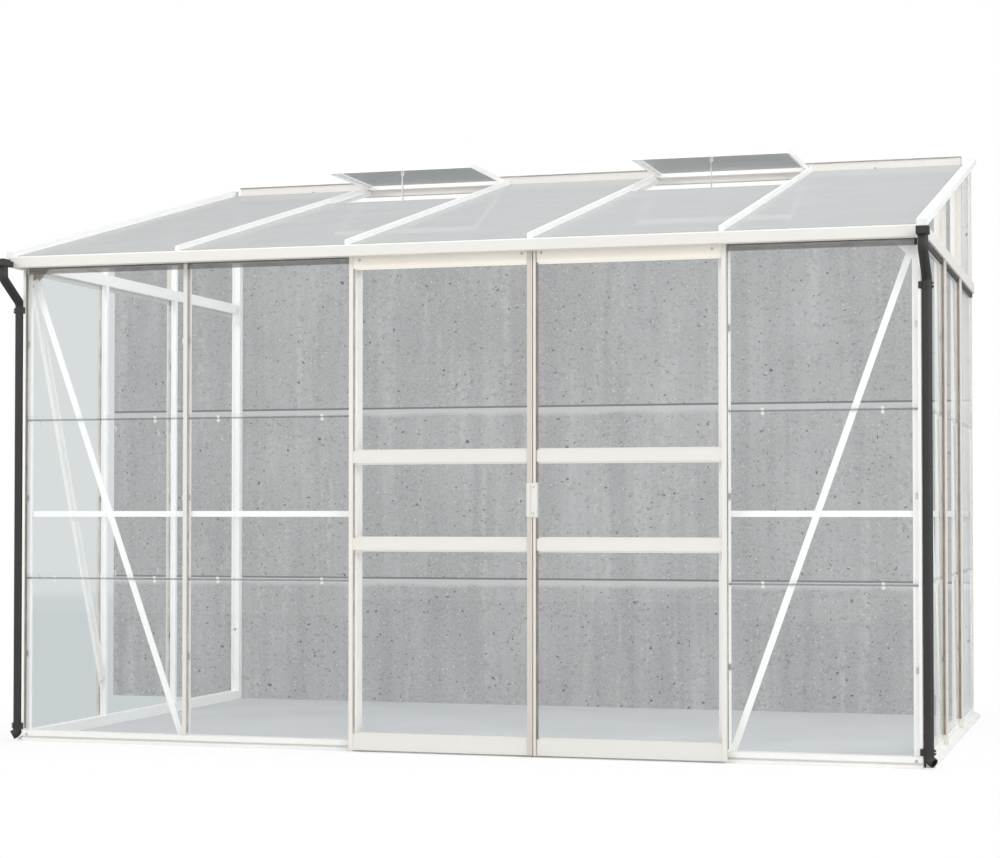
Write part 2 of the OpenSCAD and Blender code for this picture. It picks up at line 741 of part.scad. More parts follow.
// A pipe run starts at the origin and heads down; a bend turns it towards +Y
module pipe_run(h) translate([0, 0, -h]) linear_extrude(h) pipe_section();
module pipe_bend(angle, r) translate([0, r, 0]) rotate([-90, 0, -90])
    rotate_extrude(angle = angle, $fn = 96) translate([r, 0]) pipe_section();
module past_bend(angle, r) translate([0, r * (1 - cos(angle)), -r * sin(angle)])
    rotate([angle, 0, 0]) children();
module past_run(h) translate([0, 0, -h]) children();
neck_slant = (pipe_y - neck_y - 2 * neck_bend * (1 - cos(neck_angle))) / sin(neck_angle);
neck_drop = neck_top + 2 * neck_bend * sin(neck_angle) + neck_slant * cos(neck_angle);
module downpipe_necks() placed() color(DARK) both_sides() translate([pipe_x, neck_y, hopper_z]) {
    pipe_run(neck_top);
    past_run(neck_top) {
        pipe_bend(neck_angle, neck_bend);
        past_bend(neck_angle, neck_bend) {
            pipe_run(neck_slant);
            past_run(neck_slant) mirror([0, 1, 0]) {
                pipe_bend(neck_angle, neck_bend);
                past_bend(neck_angle, neck_bend) pipe_run(hopper_z - neck_drop - pipe_top);
            }
        }
    }
}
module downpipes() placed() color(DARK) both_sides() translate([pipe_x, pipe_y, pipe_top])
    pipe_run(pipe_top - clip_low);
// The shoe throws the water outwards and a little to the front
module downpipe_shoes() placed() color(DARK) both_sides() translate([pipe_x, pipe_y, clip_low])
    rotate([0, 0, -90 - shoe_turn]) {
        pipe_bend(shoe_tilt, shoe_bend);
        past_bend(shoe_tilt, shoe_bend) pipe_run(shoe_mouth);
    }
module pipe_clips() placed() color(DARK) both_sides() for (z0 = [clip_high, clip_low]) {
    z1 = z0 + clip_h;
    r_in = pipe_r + clip_play;
    difference() {
        union() {
            intersection() {
                translate([pipe_x, pipe_y, z0]) cylinder(r = r_in + clip_t, h = clip_h, $fn = 64);
                box([gable_x, far], [-far, far], [z0, z1]);
            }
            box([gable_x - clip_ear_in, gable_x + clip_ear], [-fin_d - clip_base, -fin_d], [z0, z1]);
            box([pipe_x + pipe_r, pipe_x + pipe_r + clip_knuckle], [pipe_y - clip_ear, pipe_y + clip_ear],
                [z0 + clip_step, z1 - clip_step]);
        }
        translate([pipe_x, pipe_y, z0 - 1]) cylinder(r = r_in, h = clip_h + 2, $fn = 64);
    }
}

// Door leaves
// Stile from x0 to x1 with a glass groove on the side given by dir
module stile(x0, x1, dir) run_z(leaf_z0, leaf_z1) {
    inner = dir > 0 ? x1 : x0;
    y_mid = pane_y + glass_t / 2;
    half = glass_t / 2 + groove_play;
    difference() {
        rect(x0, x1, leaf_front, leaf_back);
        rect(min(inner, inner - dir * pane_groove), max(inner, inner - dir * pane_groove),
            y_mid - half, y_mid + half);
        difference() {
            rect(x0 + wall_t, x1 - wall_t, leaf_front + wall_t, leaf_back - wall_t);
            rect(inner - pane_groove - wall_t, inner + pane_groove + wall_t,
                y_mid - half - wall_t, y_mid + half + wall_t);
        }
    }
}
// Clear width between the stiles of each leaf
clear_l = [x_leaf_l[0] + fin_w, x_leaf_l[1] - stile_wide];
clear_r = [x_leaf_r[0] + stile_narrow, x_leaf_r[1] - fin_w];
module left_door_stiles() placed() color(WHITE) {
    stile(x_leaf_l[0], clear_l[0], 1);
    stile(clear_l[1], x_leaf_l[1], -1);
}
module right_door_stiles() placed() color(WHITE) {
    stile(x_leaf_r[0], clear_r[0], 1);
    stile(clear_r[1], x_leaf_r[1], -1);
}
// Rails with thin lips that hold the pane edge; up and down say where the lips stand
rail_spans = [
    [leaf_z0, leaf_z0 + rail_bottom, 0, 1], [rail_low_z, rail_low_z + rail_h, 1, 1],
    [rail_high_z, rail_high_z + rail_h, 1, 1], [leaf_z1 - rail_top, leaf_z1, 1, 0]
];
module rail(x, s) run_x(x[0], x[1]) {
    hollow(rail_y0, rail_y1, s[0], s[1]);
    for (y = [pane_y - slack - 1, pane_y + glass_t + slack]) {
        if (s[3] == 1) rect(y, y + 1, s[1] - wall_t, s[1] + lip);
        if (s[2] == 1) rect(y, y + 1, s[0] - lip, s[0] + wall_t);
    }
}
module left_door_rails() placed() color(WHITE) for (s = rail_spans) rail(clear_l, s);
module right_door_rails() placed() color(WHITE) for (s = rail_spans) rail(clear_r, s);
module leaf_panes(x) for (i = [0:2]) box(
    [x[0] - pane_groove + groove_play, x[1] + pane_groove - groove_play], [pane_y, pane_y + glass_t],
    [rail_spans[i][1] + groove_play, rail_spans[i + 1][0] - groove_play]
);
module left_door_panes() placed() color(GLASS) leaf_panes(clear_l);
module right_door_panes() placed() color(GLASS) leaf_panes(clear_r);
module door_handle() placed() color(WHITE) {
    x0 = x_leaf_l[1] - stile_wide - handle_side;
    run_z(handle_z, handle_z + handle_h) {
        rect(x0, x_meet, leaf_front - handle_t, leaf_front);
        rect(x0, x0 + handle_w, leaf_front - handle_t, leaf_front - handle_gap);
        rect(x0 + grip_x[0], x0 + grip_x[1], leaf_front - handle_t - grip_d, leaf_front - handle_t);
    }
}
// Hanger: plate behind the top rail and the axle of one wheel
module hanger(x) {
    y1 = rail_y1 + hanger_t;
    wheel_back = wheel_y + wheel_w / 2;
    box([x - hanger_half, x + hanger_half], [rail_y1, y1], [leaf_z1 - hanger_low, wheel_z + hanger_top]);
    translate([x, wheel_y - wheel_w / 2 - axle_head - slack, wheel_z]) rotate([-90, 0, 0]) {
        cylinder(r = axle_r, h = rail_y1 - wheel_y + wheel_w / 2 + axle_head + slack, $fn = 48);
        cylinder(r = axle_r + axle_head, h = axle_head, $fn = 48);
    }
    translate([x, wheel_back + slack, wheel_z]) rotate([-90, 0, 0])
        cylinder(r = axle_r + axle_collar, h = rail_y1 - wheel_back - slack, $fn = 48);
}
module hanger_pair(x) for (xi = [x[0] + hanger_in, x[1] - hanger_in]) hanger(xi);
module left_door_hangers() placed() color(STEEL) hanger_pair(x_leaf_l);
module right_door_hangers() placed() color(STEEL) hanger_pair(x_leaf_r);
module wheel(x) translate([x, wheel_y, wheel_z]) rotate([90, 0, 0]) rotate_extrude($fn = 96) polygon([
    [axle_r + wheel_play, -wheel_w / 2], [wheel_r + wheel_flange, -wheel_w / 2],
    [wheel_r + wheel_flange, -wheel_w / 2 + wheel_flange], [wheel_r, -bead_w / 2 - slack],
    [wheel_r, bead_w / 2 + slack], [wheel_r + wheel_flange, wheel_w / 2 - wheel_flange],
    [wheel_r + wheel_flange, wheel_w / 2], [axle_r + wheel_play, wheel_w / 2]
]);
module left_door_roller_a() placed() color(DARK) wheel(x_leaf_l[0] + hanger_in);
module left_door_roller_b() placed() color(DARK) wheel(x_leaf_l[1] - hanger_in);
module right_door_roller_a() placed() color(DARK) wheel(x_leaf_r[0] + hanger_in);
module right_door_roller_b() placed() color(DARK) wheel(x_leaf_r[1] - hanger_in);
// Guide block behind the bottom rail, with a tongue in the groove of the sill
module guide(x) {
    tongue = [groove_z0 + 1, groove_z1 - 1];
    box([x - guide_w / 2, x + guide_w / 2], [rail_y1, guide_y], [tongue[0], sill_h - 7]);
    box([x - guide_w / 2, x + guide_w / 2], [guide_y - 1, -sill_front + groove_d - 1.5], tongue);
}
module guide_pair(x) for (xi = [x[0] + hanger_in, x[1] - hanger_in]) guide(xi);
module left_door_guides() placed() color(DARK) guide_pair(x_leaf_l);
module right_door_guides() placed() color(DARK) guide_pair(x_leaf_r);

// Roof vents, drawn level about their hinge line
function vent_w(x0, x1) = x1 - x0 - fin_w - 2 * vent_gap;
module at_vent(x0, x1) placed() translate([(x0 + x1) / 2, vent_y, vent_z]) children();
module cross_pin(x, r, half) translate([x - half, 0, 0]) rotate([0, 90, 0])
    cylinder(r = r, h = 2 * half, $fn = 48);
module vent_frame(w) color(WHITE) difference() {
    inner_x = [-w / 2 + vent_wall, w / 2 - vent_wall];
    inner_y = [-vent_len + vent_wall, -rear_bar];
    union() {
        difference() {
            box([-w / 2, w / 2], [-vent_len, vent_heel], [-vent_t / 2, vent_t / 2]);
            box(inner_x, inner_y, [shelf_z + shelf_t, far]);
            box(inner_x, inner_y, [-far, shelf_z]);
            box([-w / 2 + shelf_w, w / 2 - shelf_w], [-vent_len + shelf_w, -rear_bar], [-far, far]);
        }
        box([-tab_w / 2, tab_w / 2], [-stay_r - ear_r, -vent_len + shelf_w], [shelf_z, shelf_z + shelf_t]);
        box([-tab_w / 2, tab_w / 2], [-stay_r - ear_r, -stay_r + ear_r], [shelf_z, shelf_z + shelf_t]);
        for (s = [-1, 1]) translate([s * (stay_t / 2 + ear_gap + ear_t / 2), -stay_r, 0]) {
            box([-ear_t / 2, ear_t / 2], [-ear_r, ear_r], [-stay_drop, shelf_z + 1]);
            translate([0, 0, -stay_drop]) cross_pin(0, ear_r, ear_t / 2);
        }
        translate([0, -stay_r, -stay_drop]) cross_pin(0, stay_pin, stay_t / 2 + ear_gap + ear_t);
    }
    for (s = [-1, 1]) {
        box([s * (w / 2 - lug_in) - lug_t / 2 - lug_gap, s * (w / 2 - lug_in) + lug_t / 2 + lug_gap],
            [-lug_r - lug_back_gap, far], [-far, far]);
        cross_pin(s * (w / 2 - lug_in), pin_r + pin_play, pin_half + slack);
    }
}
module vent_pane(w) color(GLASS) {
    edge = vent_wall + edge_gap;
    box([-w / 2 + edge, w / 2 - edge], [-vent_len + edge, -rear_bar - edge_gap],
        [shelf_z + shelf_t + rest_gap, shelf_z + shelf_t + rest_gap + glass_t]);
}
module vent_stay() color(STEEL) translate([0, -stay_r, -stay_drop]) difference() {
    union() {
        box([-stay_t / 2, stay_t / 2], [-stay_w / 2, stay_w / 2], [-stay_len, 0]);
        cross_pin(0, stay_w / 2, stay_t / 2);
    }
    cross_pin(0, stay_hole, stay_t);
    for (z = [stay_first:stay_pitch:stay_len - stay_last]) translate([0, 0, -z])
        cross_pin(0, stay_hole, stay_t);
}
module left_vent_frame() at_vent(x_bar, x_jamb_l) vent_frame(vent_w(x_bar, x_jamb_l));
module left_vent_pane() at_vent(x_bar, x_jamb_l) vent_pane(vent_w(x_bar, x_jamb_l));
module left_vent_stay() at_vent(x_bar, x_jamb_l) vent_stay();
module right_vent_frame() at_vent(x_meet, x_jamb_r) vent_frame(vent_w(x_meet, x_jamb_r));
module right_vent_pane() at_vent(x_meet, x_jamb_r) vent_pane(vent_w(x_meet, x_jamb_r));
module right_vent_stay() at_vent(x_meet, x_jamb_r) vent_stay();
module hinge_lugs(x0, x1) at_vent(x0, x1) for (s = [-1, 1])
    translate([s * (vent_w(x0, x1) / 2 - lug_in), 0, 0]) {
        box([-lug_t / 2, lug_t / 2], [0, y_ridge - vent_y], [-lug_r, lug_r]);
        cross_pin(0, lug_r, lug_t / 2);
        cross_pin(0, pin_r, pin_half);
    }
module vent_hinge_brackets() color(STEEL) {
    hinge_lugs(x_bar, x_jamb_l);
    hinge_lugs(x_meet, x_jamb_r);
}
// Peg on the vent sill, which the holes of the stay drop over
peg_z = vent_z - stay_drop - stay_first - peg_hole * stay_pitch;
module stay_peg(x) {
    y0 = vent_sill_y0 + vent_sill_w;
    tip = x + stay_t / 2 + peg_tip;
    box([tip + peg_len, tip + peg_len + peg_plate], [y0, y0 + peg_depth],
        [peg_z - peg_z_low, peg_z + peg_z_high]);
    translate([tip, vent_y - stay_r, peg_z]) rotate([0, 90, 0])
        cylinder(r = stay_pin - peg_play, h = peg_len + 1, $fn = 48);
}
module stay_pegs() placed() color(STEEL) {
    stay_peg((x_bar + x_jamb_l) / 2);
    stay_peg((x_meet + x_jamb_r) / 2);
}

front_sill();
side_sills();
corner_posts();
wall_posts();
front_glazing_bar();
door_jambs();
gable_bars();
gable_upper_bars();
eaves_beam();
gutter_end_caps();
gable_eaves_rails();
end_rafters();
roof_bars();
wall_bar();
front_mid_rails();
gable_mid_rails();
front_braces();
gable_braces();
corner_gussets();
vent_sills();
front_panes();
left_gable_panes();
right_gable_panes();
roof_panes();
lap_clips();
glazing_clips();
eaves_seals();
wall_flashing();
frame_bolts();
gutter_outlets();
downpipe_necks();
downpipes();
downpipe_shoes();
pipe_clips();
door_stops();
vent_hinge_brackets();
stay_pegs();
left_door_stiles();
left_door_rails();
left_door_panes();
left_door_hangers();
left_door_guides();
door_handle();
right_door_stiles();
right_door_rails();
right_door_panes();
right_door_hangers();
right_door_guides();
left_door_roller_a();
left_door_roller_b();
right_door_roller_a();
right_door_roller_b();
left_vent_frame();
left_vent_pane();
left_vent_stay();
right_vent_frame();
right_vent_pane();
right_vent_stay();
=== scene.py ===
"""The looks of a white lean-to greenhouse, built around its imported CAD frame."""
import json
import math

import bmesh
import bpy
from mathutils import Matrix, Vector


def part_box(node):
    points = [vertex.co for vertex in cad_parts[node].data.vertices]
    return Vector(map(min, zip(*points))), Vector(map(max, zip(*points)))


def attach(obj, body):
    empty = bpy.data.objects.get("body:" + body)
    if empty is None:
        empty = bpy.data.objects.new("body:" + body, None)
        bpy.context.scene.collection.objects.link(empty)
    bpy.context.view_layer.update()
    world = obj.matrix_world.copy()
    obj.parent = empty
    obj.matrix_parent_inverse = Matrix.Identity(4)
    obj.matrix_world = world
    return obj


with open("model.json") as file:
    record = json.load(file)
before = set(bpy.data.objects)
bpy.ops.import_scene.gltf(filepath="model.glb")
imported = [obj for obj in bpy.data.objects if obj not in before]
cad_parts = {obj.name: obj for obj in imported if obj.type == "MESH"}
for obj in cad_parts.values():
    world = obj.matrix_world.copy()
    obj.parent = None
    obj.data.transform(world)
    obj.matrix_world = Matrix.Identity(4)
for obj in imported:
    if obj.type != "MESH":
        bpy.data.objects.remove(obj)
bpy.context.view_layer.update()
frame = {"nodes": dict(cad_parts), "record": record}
NODES = frame["nodes"]

# The photograph's frame and the camera fitted to it, in pixels, metres and radians
IMAGE_W, IMAGE_H = 1000, 858
FOCAL_PX = 2239.65
CENTRE_V = 462.2
CAMERA_AT = (2.2753, -7.9819, 0.7954)
CAMERA_YAW = 0.2858
CAMERA_PITCH = 0.0234
# The sensor's width in millimetres, which only sets the unit of the lens
SENSOR = 36.0
# How far the camera sees, in metres
VIEW_END = 200

# The planes that the glass seats on: the front, the gables, and the roof as height = base + slope * Y
SEAT_Y = -0.865
SEAT_X = 1.565
ROOF_BASE = 1.9295
ROOF_SLOPE = 0.24562
# The roof's upward normal as its share of -Y and of Z
ROOF_NORMAL = (0.239, 0.971)
# A distance too small to see, which keeps a test clear of the plane it is made against
HAIR = 0.001

# The plane of the wall behind the lean-to, and the parts of it that a direct look, a look through
# glass and a mirror may see, as left end, right end and top
WALL_Y = 1.03
WALL_DIRECT = (-1.56, 1.56, 1.66)
WALL_THROUGH = (-2.15, 1.62, 2.42)
WALL_MIRRORED = (-6.0, 6.0, 4.2)

# Both sides of the object, and the sign of X there
SIDES = (("left", -1), ("right", 1))


def make_camera():
    """Camera of the photograph, with a shift that puts its centre at the fitted height."""
    data = bpy.data.cameras.new("camera")
    data.sensor_fit = "HORIZONTAL"
    data.sensor_width = SENSOR
    data.lens = FOCAL_PX * SENSOR / IMAGE_W
    data.shift_y = (CENTRE_V - IMAGE_H / 2) / IMAGE_W
    data.clip_end = VIEW_END
    camera = bpy.data.objects.new("camera", data)
    camera.location = CAMERA_AT
    camera.rotation_euler = (math.pi / 2 + CAMERA_PITCH, 0, CAMERA_YAW)
    bpy.context.scene.collection.objects.link(camera)
    bpy.context.scene.camera = camera


# Node graphs

# The factor, A and B inputs of a Mix node that mixes colours, and its result
MIX_INPUTS = (0, 6, 7)
MIX_RESULT = 2
# Most of a noise lies between these levels
NOISE_MIDDLE = (0.3, 0.7)


class Graph:
    """The node tree of a material or a world, with short calls for the nodes used here."""

    def __init__(self, owner, output="ShaderNodeOutputMaterial"):
        self.owner = owner
        self.owner.use_nodes = True
        self.tree = self.owner.node_tree
        self.tree.nodes.clear()
        self.output = self.add(output)

    def add(self, kind, **settings):
        node = self.tree.nodes.new(kind)
        for key, value in settings.items():
            setattr(node, key, value)
        return node

    def link(self, start, end):
        self.tree.links.new(start, end)

    def feed(self, socket, value):
        """Sets an input to a number or a colour, or links an output to it."""
        if isinstance(value, (int, float)):
            socket.default_value = value
        elif isinstance(value, tuple):
            socket.default_value = (*value, 1.0)
        else:
            self.link(value, socket)

    def show(self, shader):
        """Makes the shader the surface, and gives back the material or world."""
        self.link(shader, self.output.inputs["Surface"])
        return self.owner

    def place(self):
        return self.add("ShaderNodeTexCoord").outputs["Object"]

    def rays(self):
        """Outputs that tell which kind of ray looks at the surface."""
        return self.add("ShaderNodeLightPath").outputs

    def axes(self, vector):
        """The three parts of a vector or colour."""
        node = self.add("ShaderNodeSeparateXYZ")
        self.link(vector, node.inputs[0])
        return node.outputs[0], node.outputs[1], node.outputs[2]

    def noise(self, vector, scale, detail, stretch=(1, 1, 1)):
        mapping = self.add("ShaderNodeMapping")
        mapping.inputs["Scale"].default_value = stretch
        self.link(vector, mapping.inputs["Vector"])
        node = self.add("ShaderNodeTexNoise")
        node.inputs["Scale"].default_value = scale
        node.inputs["Detail"].default_value = detail
        self.link(mapping.outputs["Vector"], node.inputs["Vector"])
        return node.outputs["Fac"]

    def ramp(self, value, levels, outs=(0.0, 1.0)):
        """Runs from the first of outs to the second while the value runs between the levels."""
        node = self.add("ShaderNodeMapRange")
        node.clamp = True
        for key, number in zip(("From Min", "From Max", "To Min", "To Max"), (*levels, *outs)):
            node.inputs[key].default_value = number
        self.link(value, node.inputs["Value"])
        return node.outputs["Result"]

    def spread(self, noise, outs=(0.0, 1.0)):
        """Runs from the first of outs to the second over the middle of a noise."""
        return self.ramp(noise, NOISE_MIDDLE, outs)

    def math(self, operation, *values):
        node = self.add("ShaderNodeMath", operation=operation)
        for socket, value in zip(node.inputs, values):
            self.feed(socket, value)
        return node.outputs[0]

    def times(self, a, b):
        return self.math("MULTIPLY", a, b)

    def plus(self, a, b):
        return self.math("ADD", a, b)

    def minus(self, a, b):
        return self.math("SUBTRACT", a, b)

    def larger(self, a, b):
        return self.math("MAXIMUM", a, b)

    def size(self, value):
        return self.math("ABSOLUTE", value)

    def above(self, value, limit):
        """1 where a value is above a limit, 0 elsewhere."""
        return self.math("GREATER_THAN", value, limit)

    def below(self, value, limit):
        """1 where a value is below a limit, 0 elsewhere."""
        return self.math("LESS_THAN", value, limit)

    def mix(self, factor, a, b):
        """Colour b over colour a."""
        node = self.add("ShaderNodeMix", data_type="RGBA")
        for index, value in zip(MIX_INPUTS, (factor, a, b)):
            self.feed(node.inputs[index], value)
        return node.outputs[MIX_RESULT]

    def bump(self, height, strength, distance):
        node = self.add("ShaderNodeBump")
        node.inputs["Strength"].default_value = strength
        node.inputs["Distance"].default_value = distance
        self.link(height, node.inputs["Height"])
        return node.outputs["Normal"]

    def principled(self, color, roughness, normal=None, **same_all_over):
        shader = self.add("ShaderNodeBsdfPrincipled")
        self.feed(shader.inputs["Base Color"], color)
        self.feed(shader.inputs["Roughness"], roughness)
        if normal is not None:
            self.link(normal, shader.inputs["Normal"])
        for key, value in same_all_over.items():
            shader.inputs[key].default_value = value
        return shader.outputs[0]

    def plain(self, kind, color):
        """Shader that is given a colour and nothing else."""
        shader = self.add(kind)
        self.feed(shader.inputs["Color"], color)
        return shader.outputs[0]

    def matt(self, color):
        return self.plain("ShaderNodeBsdfDiffuse", color)

    def glow(self, color):
        return self.plain("ShaderNodeEmission", color)

    def clear(self, color):
        return self.plain("ShaderNodeBsdfTransparent", color)

    def blend(self, factor, a, b):
        """Shader b over shader a."""
        mixer = self.add("ShaderNodeMixShader")
        for socket, value in zip(mixer.inputs, (factor, a, b)):
            self.feed(socket, value)
        return mixer.outputs[0]


def material_graph(name):
    return Graph(bpy.data.materials.new(name))


def lighter(color, times):
    return tuple(times * part for part in color)


PURE_WHITE = (1.0, 1.0, 1.0)

# Powder coat

# Noises as scale, detail and stretch
ORANGE_PEEL = (900.0, 2.0)
DUST_CLOUDS = (3.0, 4.0)
RAIN = (16.0, 5.0, (1, 1, 0.06))
DUST = (0.5, 0.47, 0.42)
DUST_SHARE = 0.06
MUD = (0.46, 0.42, 0.36)
# How high the ground splashes
SPLASH_TOP = 0.22


def powder_coat(name, inner, outer, streaks=0.03, beyond=None):
    """Satin powder coat: white indoors, and outdoors a darker, warmer colour that is painted shade; orange
    peel, cloudiness and rain streaks.

    beyond gives an axis, a place on it, and the outdoor colour past that place, which paints lighter or
    darker shade there.
    """
    g = material_graph(name)
    place = g.place()
    across, deep, high = g.axes(place)
    peel = g.noise(place, *ORANGE_PEEL)
    cloud = g.noise(place, *DUST_CLOUDS)
    rain = g.noise(place, *RAIN)
    front = g.below(deep, SEAT_Y - HAIR)
    gable = g.above(g.size(across), SEAT_X + HAIR)
    eaves = g.plus(g.times(deep, ROOF_SLOPE), ROOF_BASE)
    outdoors = g.times(g.larger(front, gable), g.below(high, eaves))
    if beyond:
        axis, start, color = beyond
        outer = g.mix(g.above((across, deep, high)[axis], start), outer, color)
    # Outdoors the coat takes its outer colour, which is painted shade
    shaded_coat = g.mix(outdoors, inner, outer)
    dusty = g.mix(DUST_SHARE, shaded_coat, DUST)
    tint = g.mix(g.ramp(cloud, (0.35, 0.65), (0.0, 0.5)), shaded_coat, dusty)
    near_ground = g.ramp(high, (0.0, SPLASH_TOP), (1.0, 0.0))
    splash = g.times(near_ground, g.ramp(cloud, (0.35, 0.75), (0.0, 0.05)))
    streaked = g.times(g.ramp(rain, (0.5, 0.8), (0.0, streaks)), outdoors)
    base = g.mix(g.plus(splash, streaked), tint, MUD)
    relief = g.bump(peel, strength=0.15, distance=0.0002)
    gloss = {"Specular IOR Level": 0.4}
    return g.show(g.principled(base, g.spread(peel, (0.36, 0.46)), relief, **gloss))


def dull_coat(g, color, cloud):
    relief = g.bump(cloud, strength=0.1, distance=0.0003)
    return g.show(g.principled(color, g.spread(cloud, (0.4, 0.5)), relief))


GUSSET_WHITE = (0.975, 0.975, 0.967)
# Tea-coloured painted shade on the left gusset
GUSSET_SHADE = (0.42, 0.37, 0.29)
PALE_GUSSET_SHADE = (0.55, 0.49, 0.41)


def gusset_coat():
    """White coat on the right gusset; on the left one a tea-coloured painted shade."""
    g = material_graph("gusset_coat")
    place = g.place()
    cloud = g.noise(place, scale=30.0, detail=4.0)
    left = g.below(g.axes(place)[0], 0.0)
    painted_shade = g.mix(g.spread(cloud), GUSSET_SHADE, PALE_GUSSET_SHADE)
    return dull_coat(g, g.mix(left, GUSSET_WHITE, painted_shade), cloud)


# Brown painted shade along the top of a vent sill's front face
BAND_SHADE = (0.42, 0.34, 0.27)
# The band's lower edge, and the depth at which it ends
BAND_FOOT = 2.0395
BAND_BACK = 0.4865


def vent_sill_coat(color):
    """Coat with a brown band of painted shade along the top of the sill's front face."""
    g = material_graph("vent_sill_coat")
    place = g.place()
    deep, high = g.axes(place)[1:]
    cloud = g.noise(place, scale=40.0, detail=4.0, stretch=(0.3, 1, 1))
    brown = g.mix(g.spread(cloud), BAND_SHADE, lighter(BAND_SHADE, 1.5))
    band = g.times(g.above(high, BAND_FOOT), g.below(deep, BAND_BACK))
    return dull_coat(g, g.mix(band, color, brown), cloud)


# Glass

CLEAR_GLASS = (0.982, 0.99, 0.987)
GREEN_EDGE = (0.30, 0.42, 0.38)
ROOF_DUST = (0.485, 0.497, 0.50)
# The light that a pane lets through
PANE_LIGHT = (0.985, 0.99, 0.99)
# Indices of refraction: the gables get the faint one, because they hardly mirror in the photograph
FAINT_IOR = 1.04
GLASS_IOR = 1.42
# A face that looks less than this along its pane's main axis is an edge
EDGE_LIMIT = 0.5
# The cover of dust on a straight look and on the flattest one, the slants between which it thickens,
# and how far its spots vary it
STRAIGHT_VEIL = 0.04
ROOF_VEIL = 0.86
VEIL_SLANTS = (0.2, 0.88)
VEIL_SPOTS = (-0.03, 0.03)


def glazing(name, facing, ior, veil=0.0):
    """Clear horticultural glass with a green edge and a veil of dust that shows on a slanting look.

    facing is the axis that the panes look along, or "roof".
    """
    g = material_graph(name)
    normal = g.axes(g.add("ShaderNodeTexCoord").outputs["Normal"])
    if facing == "roof":
        ahead, up = ROOF_NORMAL
        main = g.minus(g.times(normal[2], up), g.times(normal[1], ahead))
    else:
        main = normal["XYZ".index(facing)]
    edge = g.below(g.size(main), EDGE_LIMIT)
    bulk = {"IOR": ior, "Transmission Weight": 1.0}
    pane = g.principled(g.mix(edge, CLEAR_GLASS, GREEN_EDGE), roughness=0.0, **bulk)
    if veil:
        slant = g.add("ShaderNodeLayerWeight").outputs["Facing"]
        spots = g.spread(g.noise(g.place(), scale=5.0, detail=4.0), VEIL_SPOTS)
        cover = g.plus(g.ramp(slant, VEIL_SLANTS, (STRAIGHT_VEIL, veil)), spots)
        pane = g.blend(cover, pane, g.matt(ROOF_DUST))
    rays = g.rays()
    lighting = g.larger(rays["Is Shadow Ray"], rays["Is Diffuse Ray"])
    return g.show(g.blend(lighting, pane, g.clear(PANE_LIGHT)))


# Plastic, rubber and metal


def moulded_plastic(name, color, grain, rough):
    """Plastic with a fine grain and faint clouds."""
    g = material_graph(name)
    place = g.place()
    fine = g.noise(place, grain, detail=3.0)
    cloud = g.noise(place, scale=6.0, detail=4.0)
    base = g.mix(g.spread(cloud), color, lighter(color, 1.25))
    roughness = g.spread(fine, (rough - 0.06, rough + 0.08))
    return g.show(g.principled(base, roughness, g.bump(fine, strength=0.25, distance=0.0003)))


def rubber(name, color):
    """Matt rubber with chalky patches."""
    g = material_graph(name)
    place = g.place()
    fine = g.noise(place, scale=700.0, detail=3.0)
    chalk = g.noise(place, scale=20.0, detail=4.0)
    base = g.mix(g.ramp(chalk, (0.4, 0.75), (0.0, 0.5)), color, lighter(color, 1.9))
    relief = g.bump(fine, strength=0.3, distance=0.0002)
    return g.show(g.principled(base, roughness=0.72, normal=relief))


# Colours of the strip under the eaves beam and the gable rails, which paints the shade there: smoky at the
# front, whitish at the left gable, and a dark painted shadow at the right gable
STRIP_SHADE = (0.25, 0.24, 0.235)
PALE_STRIP_SHADE = (0.33, 0.315, 0.3)
LEFT_STRIP = (0.86, 0.86, 0.85)
RIGHT_STRIP_SHADOW = (0.045, 0.04, 0.036)
STRIP_LIGHT = (0.93, 0.93, 0.93)
# The share that a strip covers of what is behind it; at the right gable it covers all
STRIP_COVER = 0.45
# Past this, a strip lies under a gable rail
STRIP_GABLE = 1.545


def shade_strip():
    """Strip of the eaves seals that paints shade: a smoky, half-clear painted shade at the front, whitish
    under the left gable rail, and a dark, solid painted shadow at the right.
    """
    g = material_graph("shade_strip")
    place = g.place()
    across = g.axes(place)[0]
    chalk = g.noise(place, scale=25.0, detail=4.0, stretch=(1, 1, 0.3))
    base = g.mix(g.ramp(chalk, (0.35, 0.7)), STRIP_SHADE, PALE_STRIP_SHADE)
    base = g.mix(g.below(across, -STRIP_GABLE), base, LEFT_STRIP)
    base = g.mix(g.above(across, STRIP_GABLE), base, RIGHT_STRIP_SHADOW)
    cover = g.ramp(across, (STRIP_GABLE, STRIP_GABLE + HAIR), (STRIP_COVER, 1.0))
    return g.show(g.blend(cover, g.clear(STRIP_LIGHT), g.principled(base, roughness=0.5)))


ZINC = (0.62, 0.61, 0.6)
PALE_ZINC = (0.78, 0.77, 0.75)


def zinc():
    """Zinc-plated steel, spangled and faintly brushed."""
    g = material_graph("bright_metal")
    place = g.place()
    spangle = g.noise(place, scale=260.0, detail=3.0)
    brushed = g.noise(place, scale=500.0, detail=2.0, stretch=(1, 1, 0.05))
    base = g.mix(g.ramp(spangle, (0.35, 0.65)), ZINC, PALE_ZINC)
    relief = g.bump(brushed, strength=0.15, distance=0.0001)
    return g.show(g.principled(base, g.spread(brushed, (0.25, 0.42)), relief, Metallic=1.0))


# Finishes of the CAD nodes

# The indoor white, and dimmer or beige copies of it that are painted shade: for the stiles, the outdoor
# faces, the roof bars and the wall bar
INNER = (0.965, 0.965, 0.957)
STILE_SHADE = (0.80, 0.79, 0.76)
OUTER_SHADE = (0.785, 0.77, 0.73)
ROOF_WHITE = (0.90, 0.905, 0.895)
RIDGE_SHADE = (0.78, 0.755, 0.705)
# The top rails of the doors lie above this height, where their coat is lighter: painted light against the
# eaves beam's shade
TOP_RAILS = 1.5
# To the right of these lie a jamb's outer flange, and the right stile of the left and right leaf; past them
# the coats paint another shade
JAMB_FLANGE = 0.951
LEFT_LEAF_MIDDLE = 0.0
RIGHT_LEAF_MIDDLE = 0.6

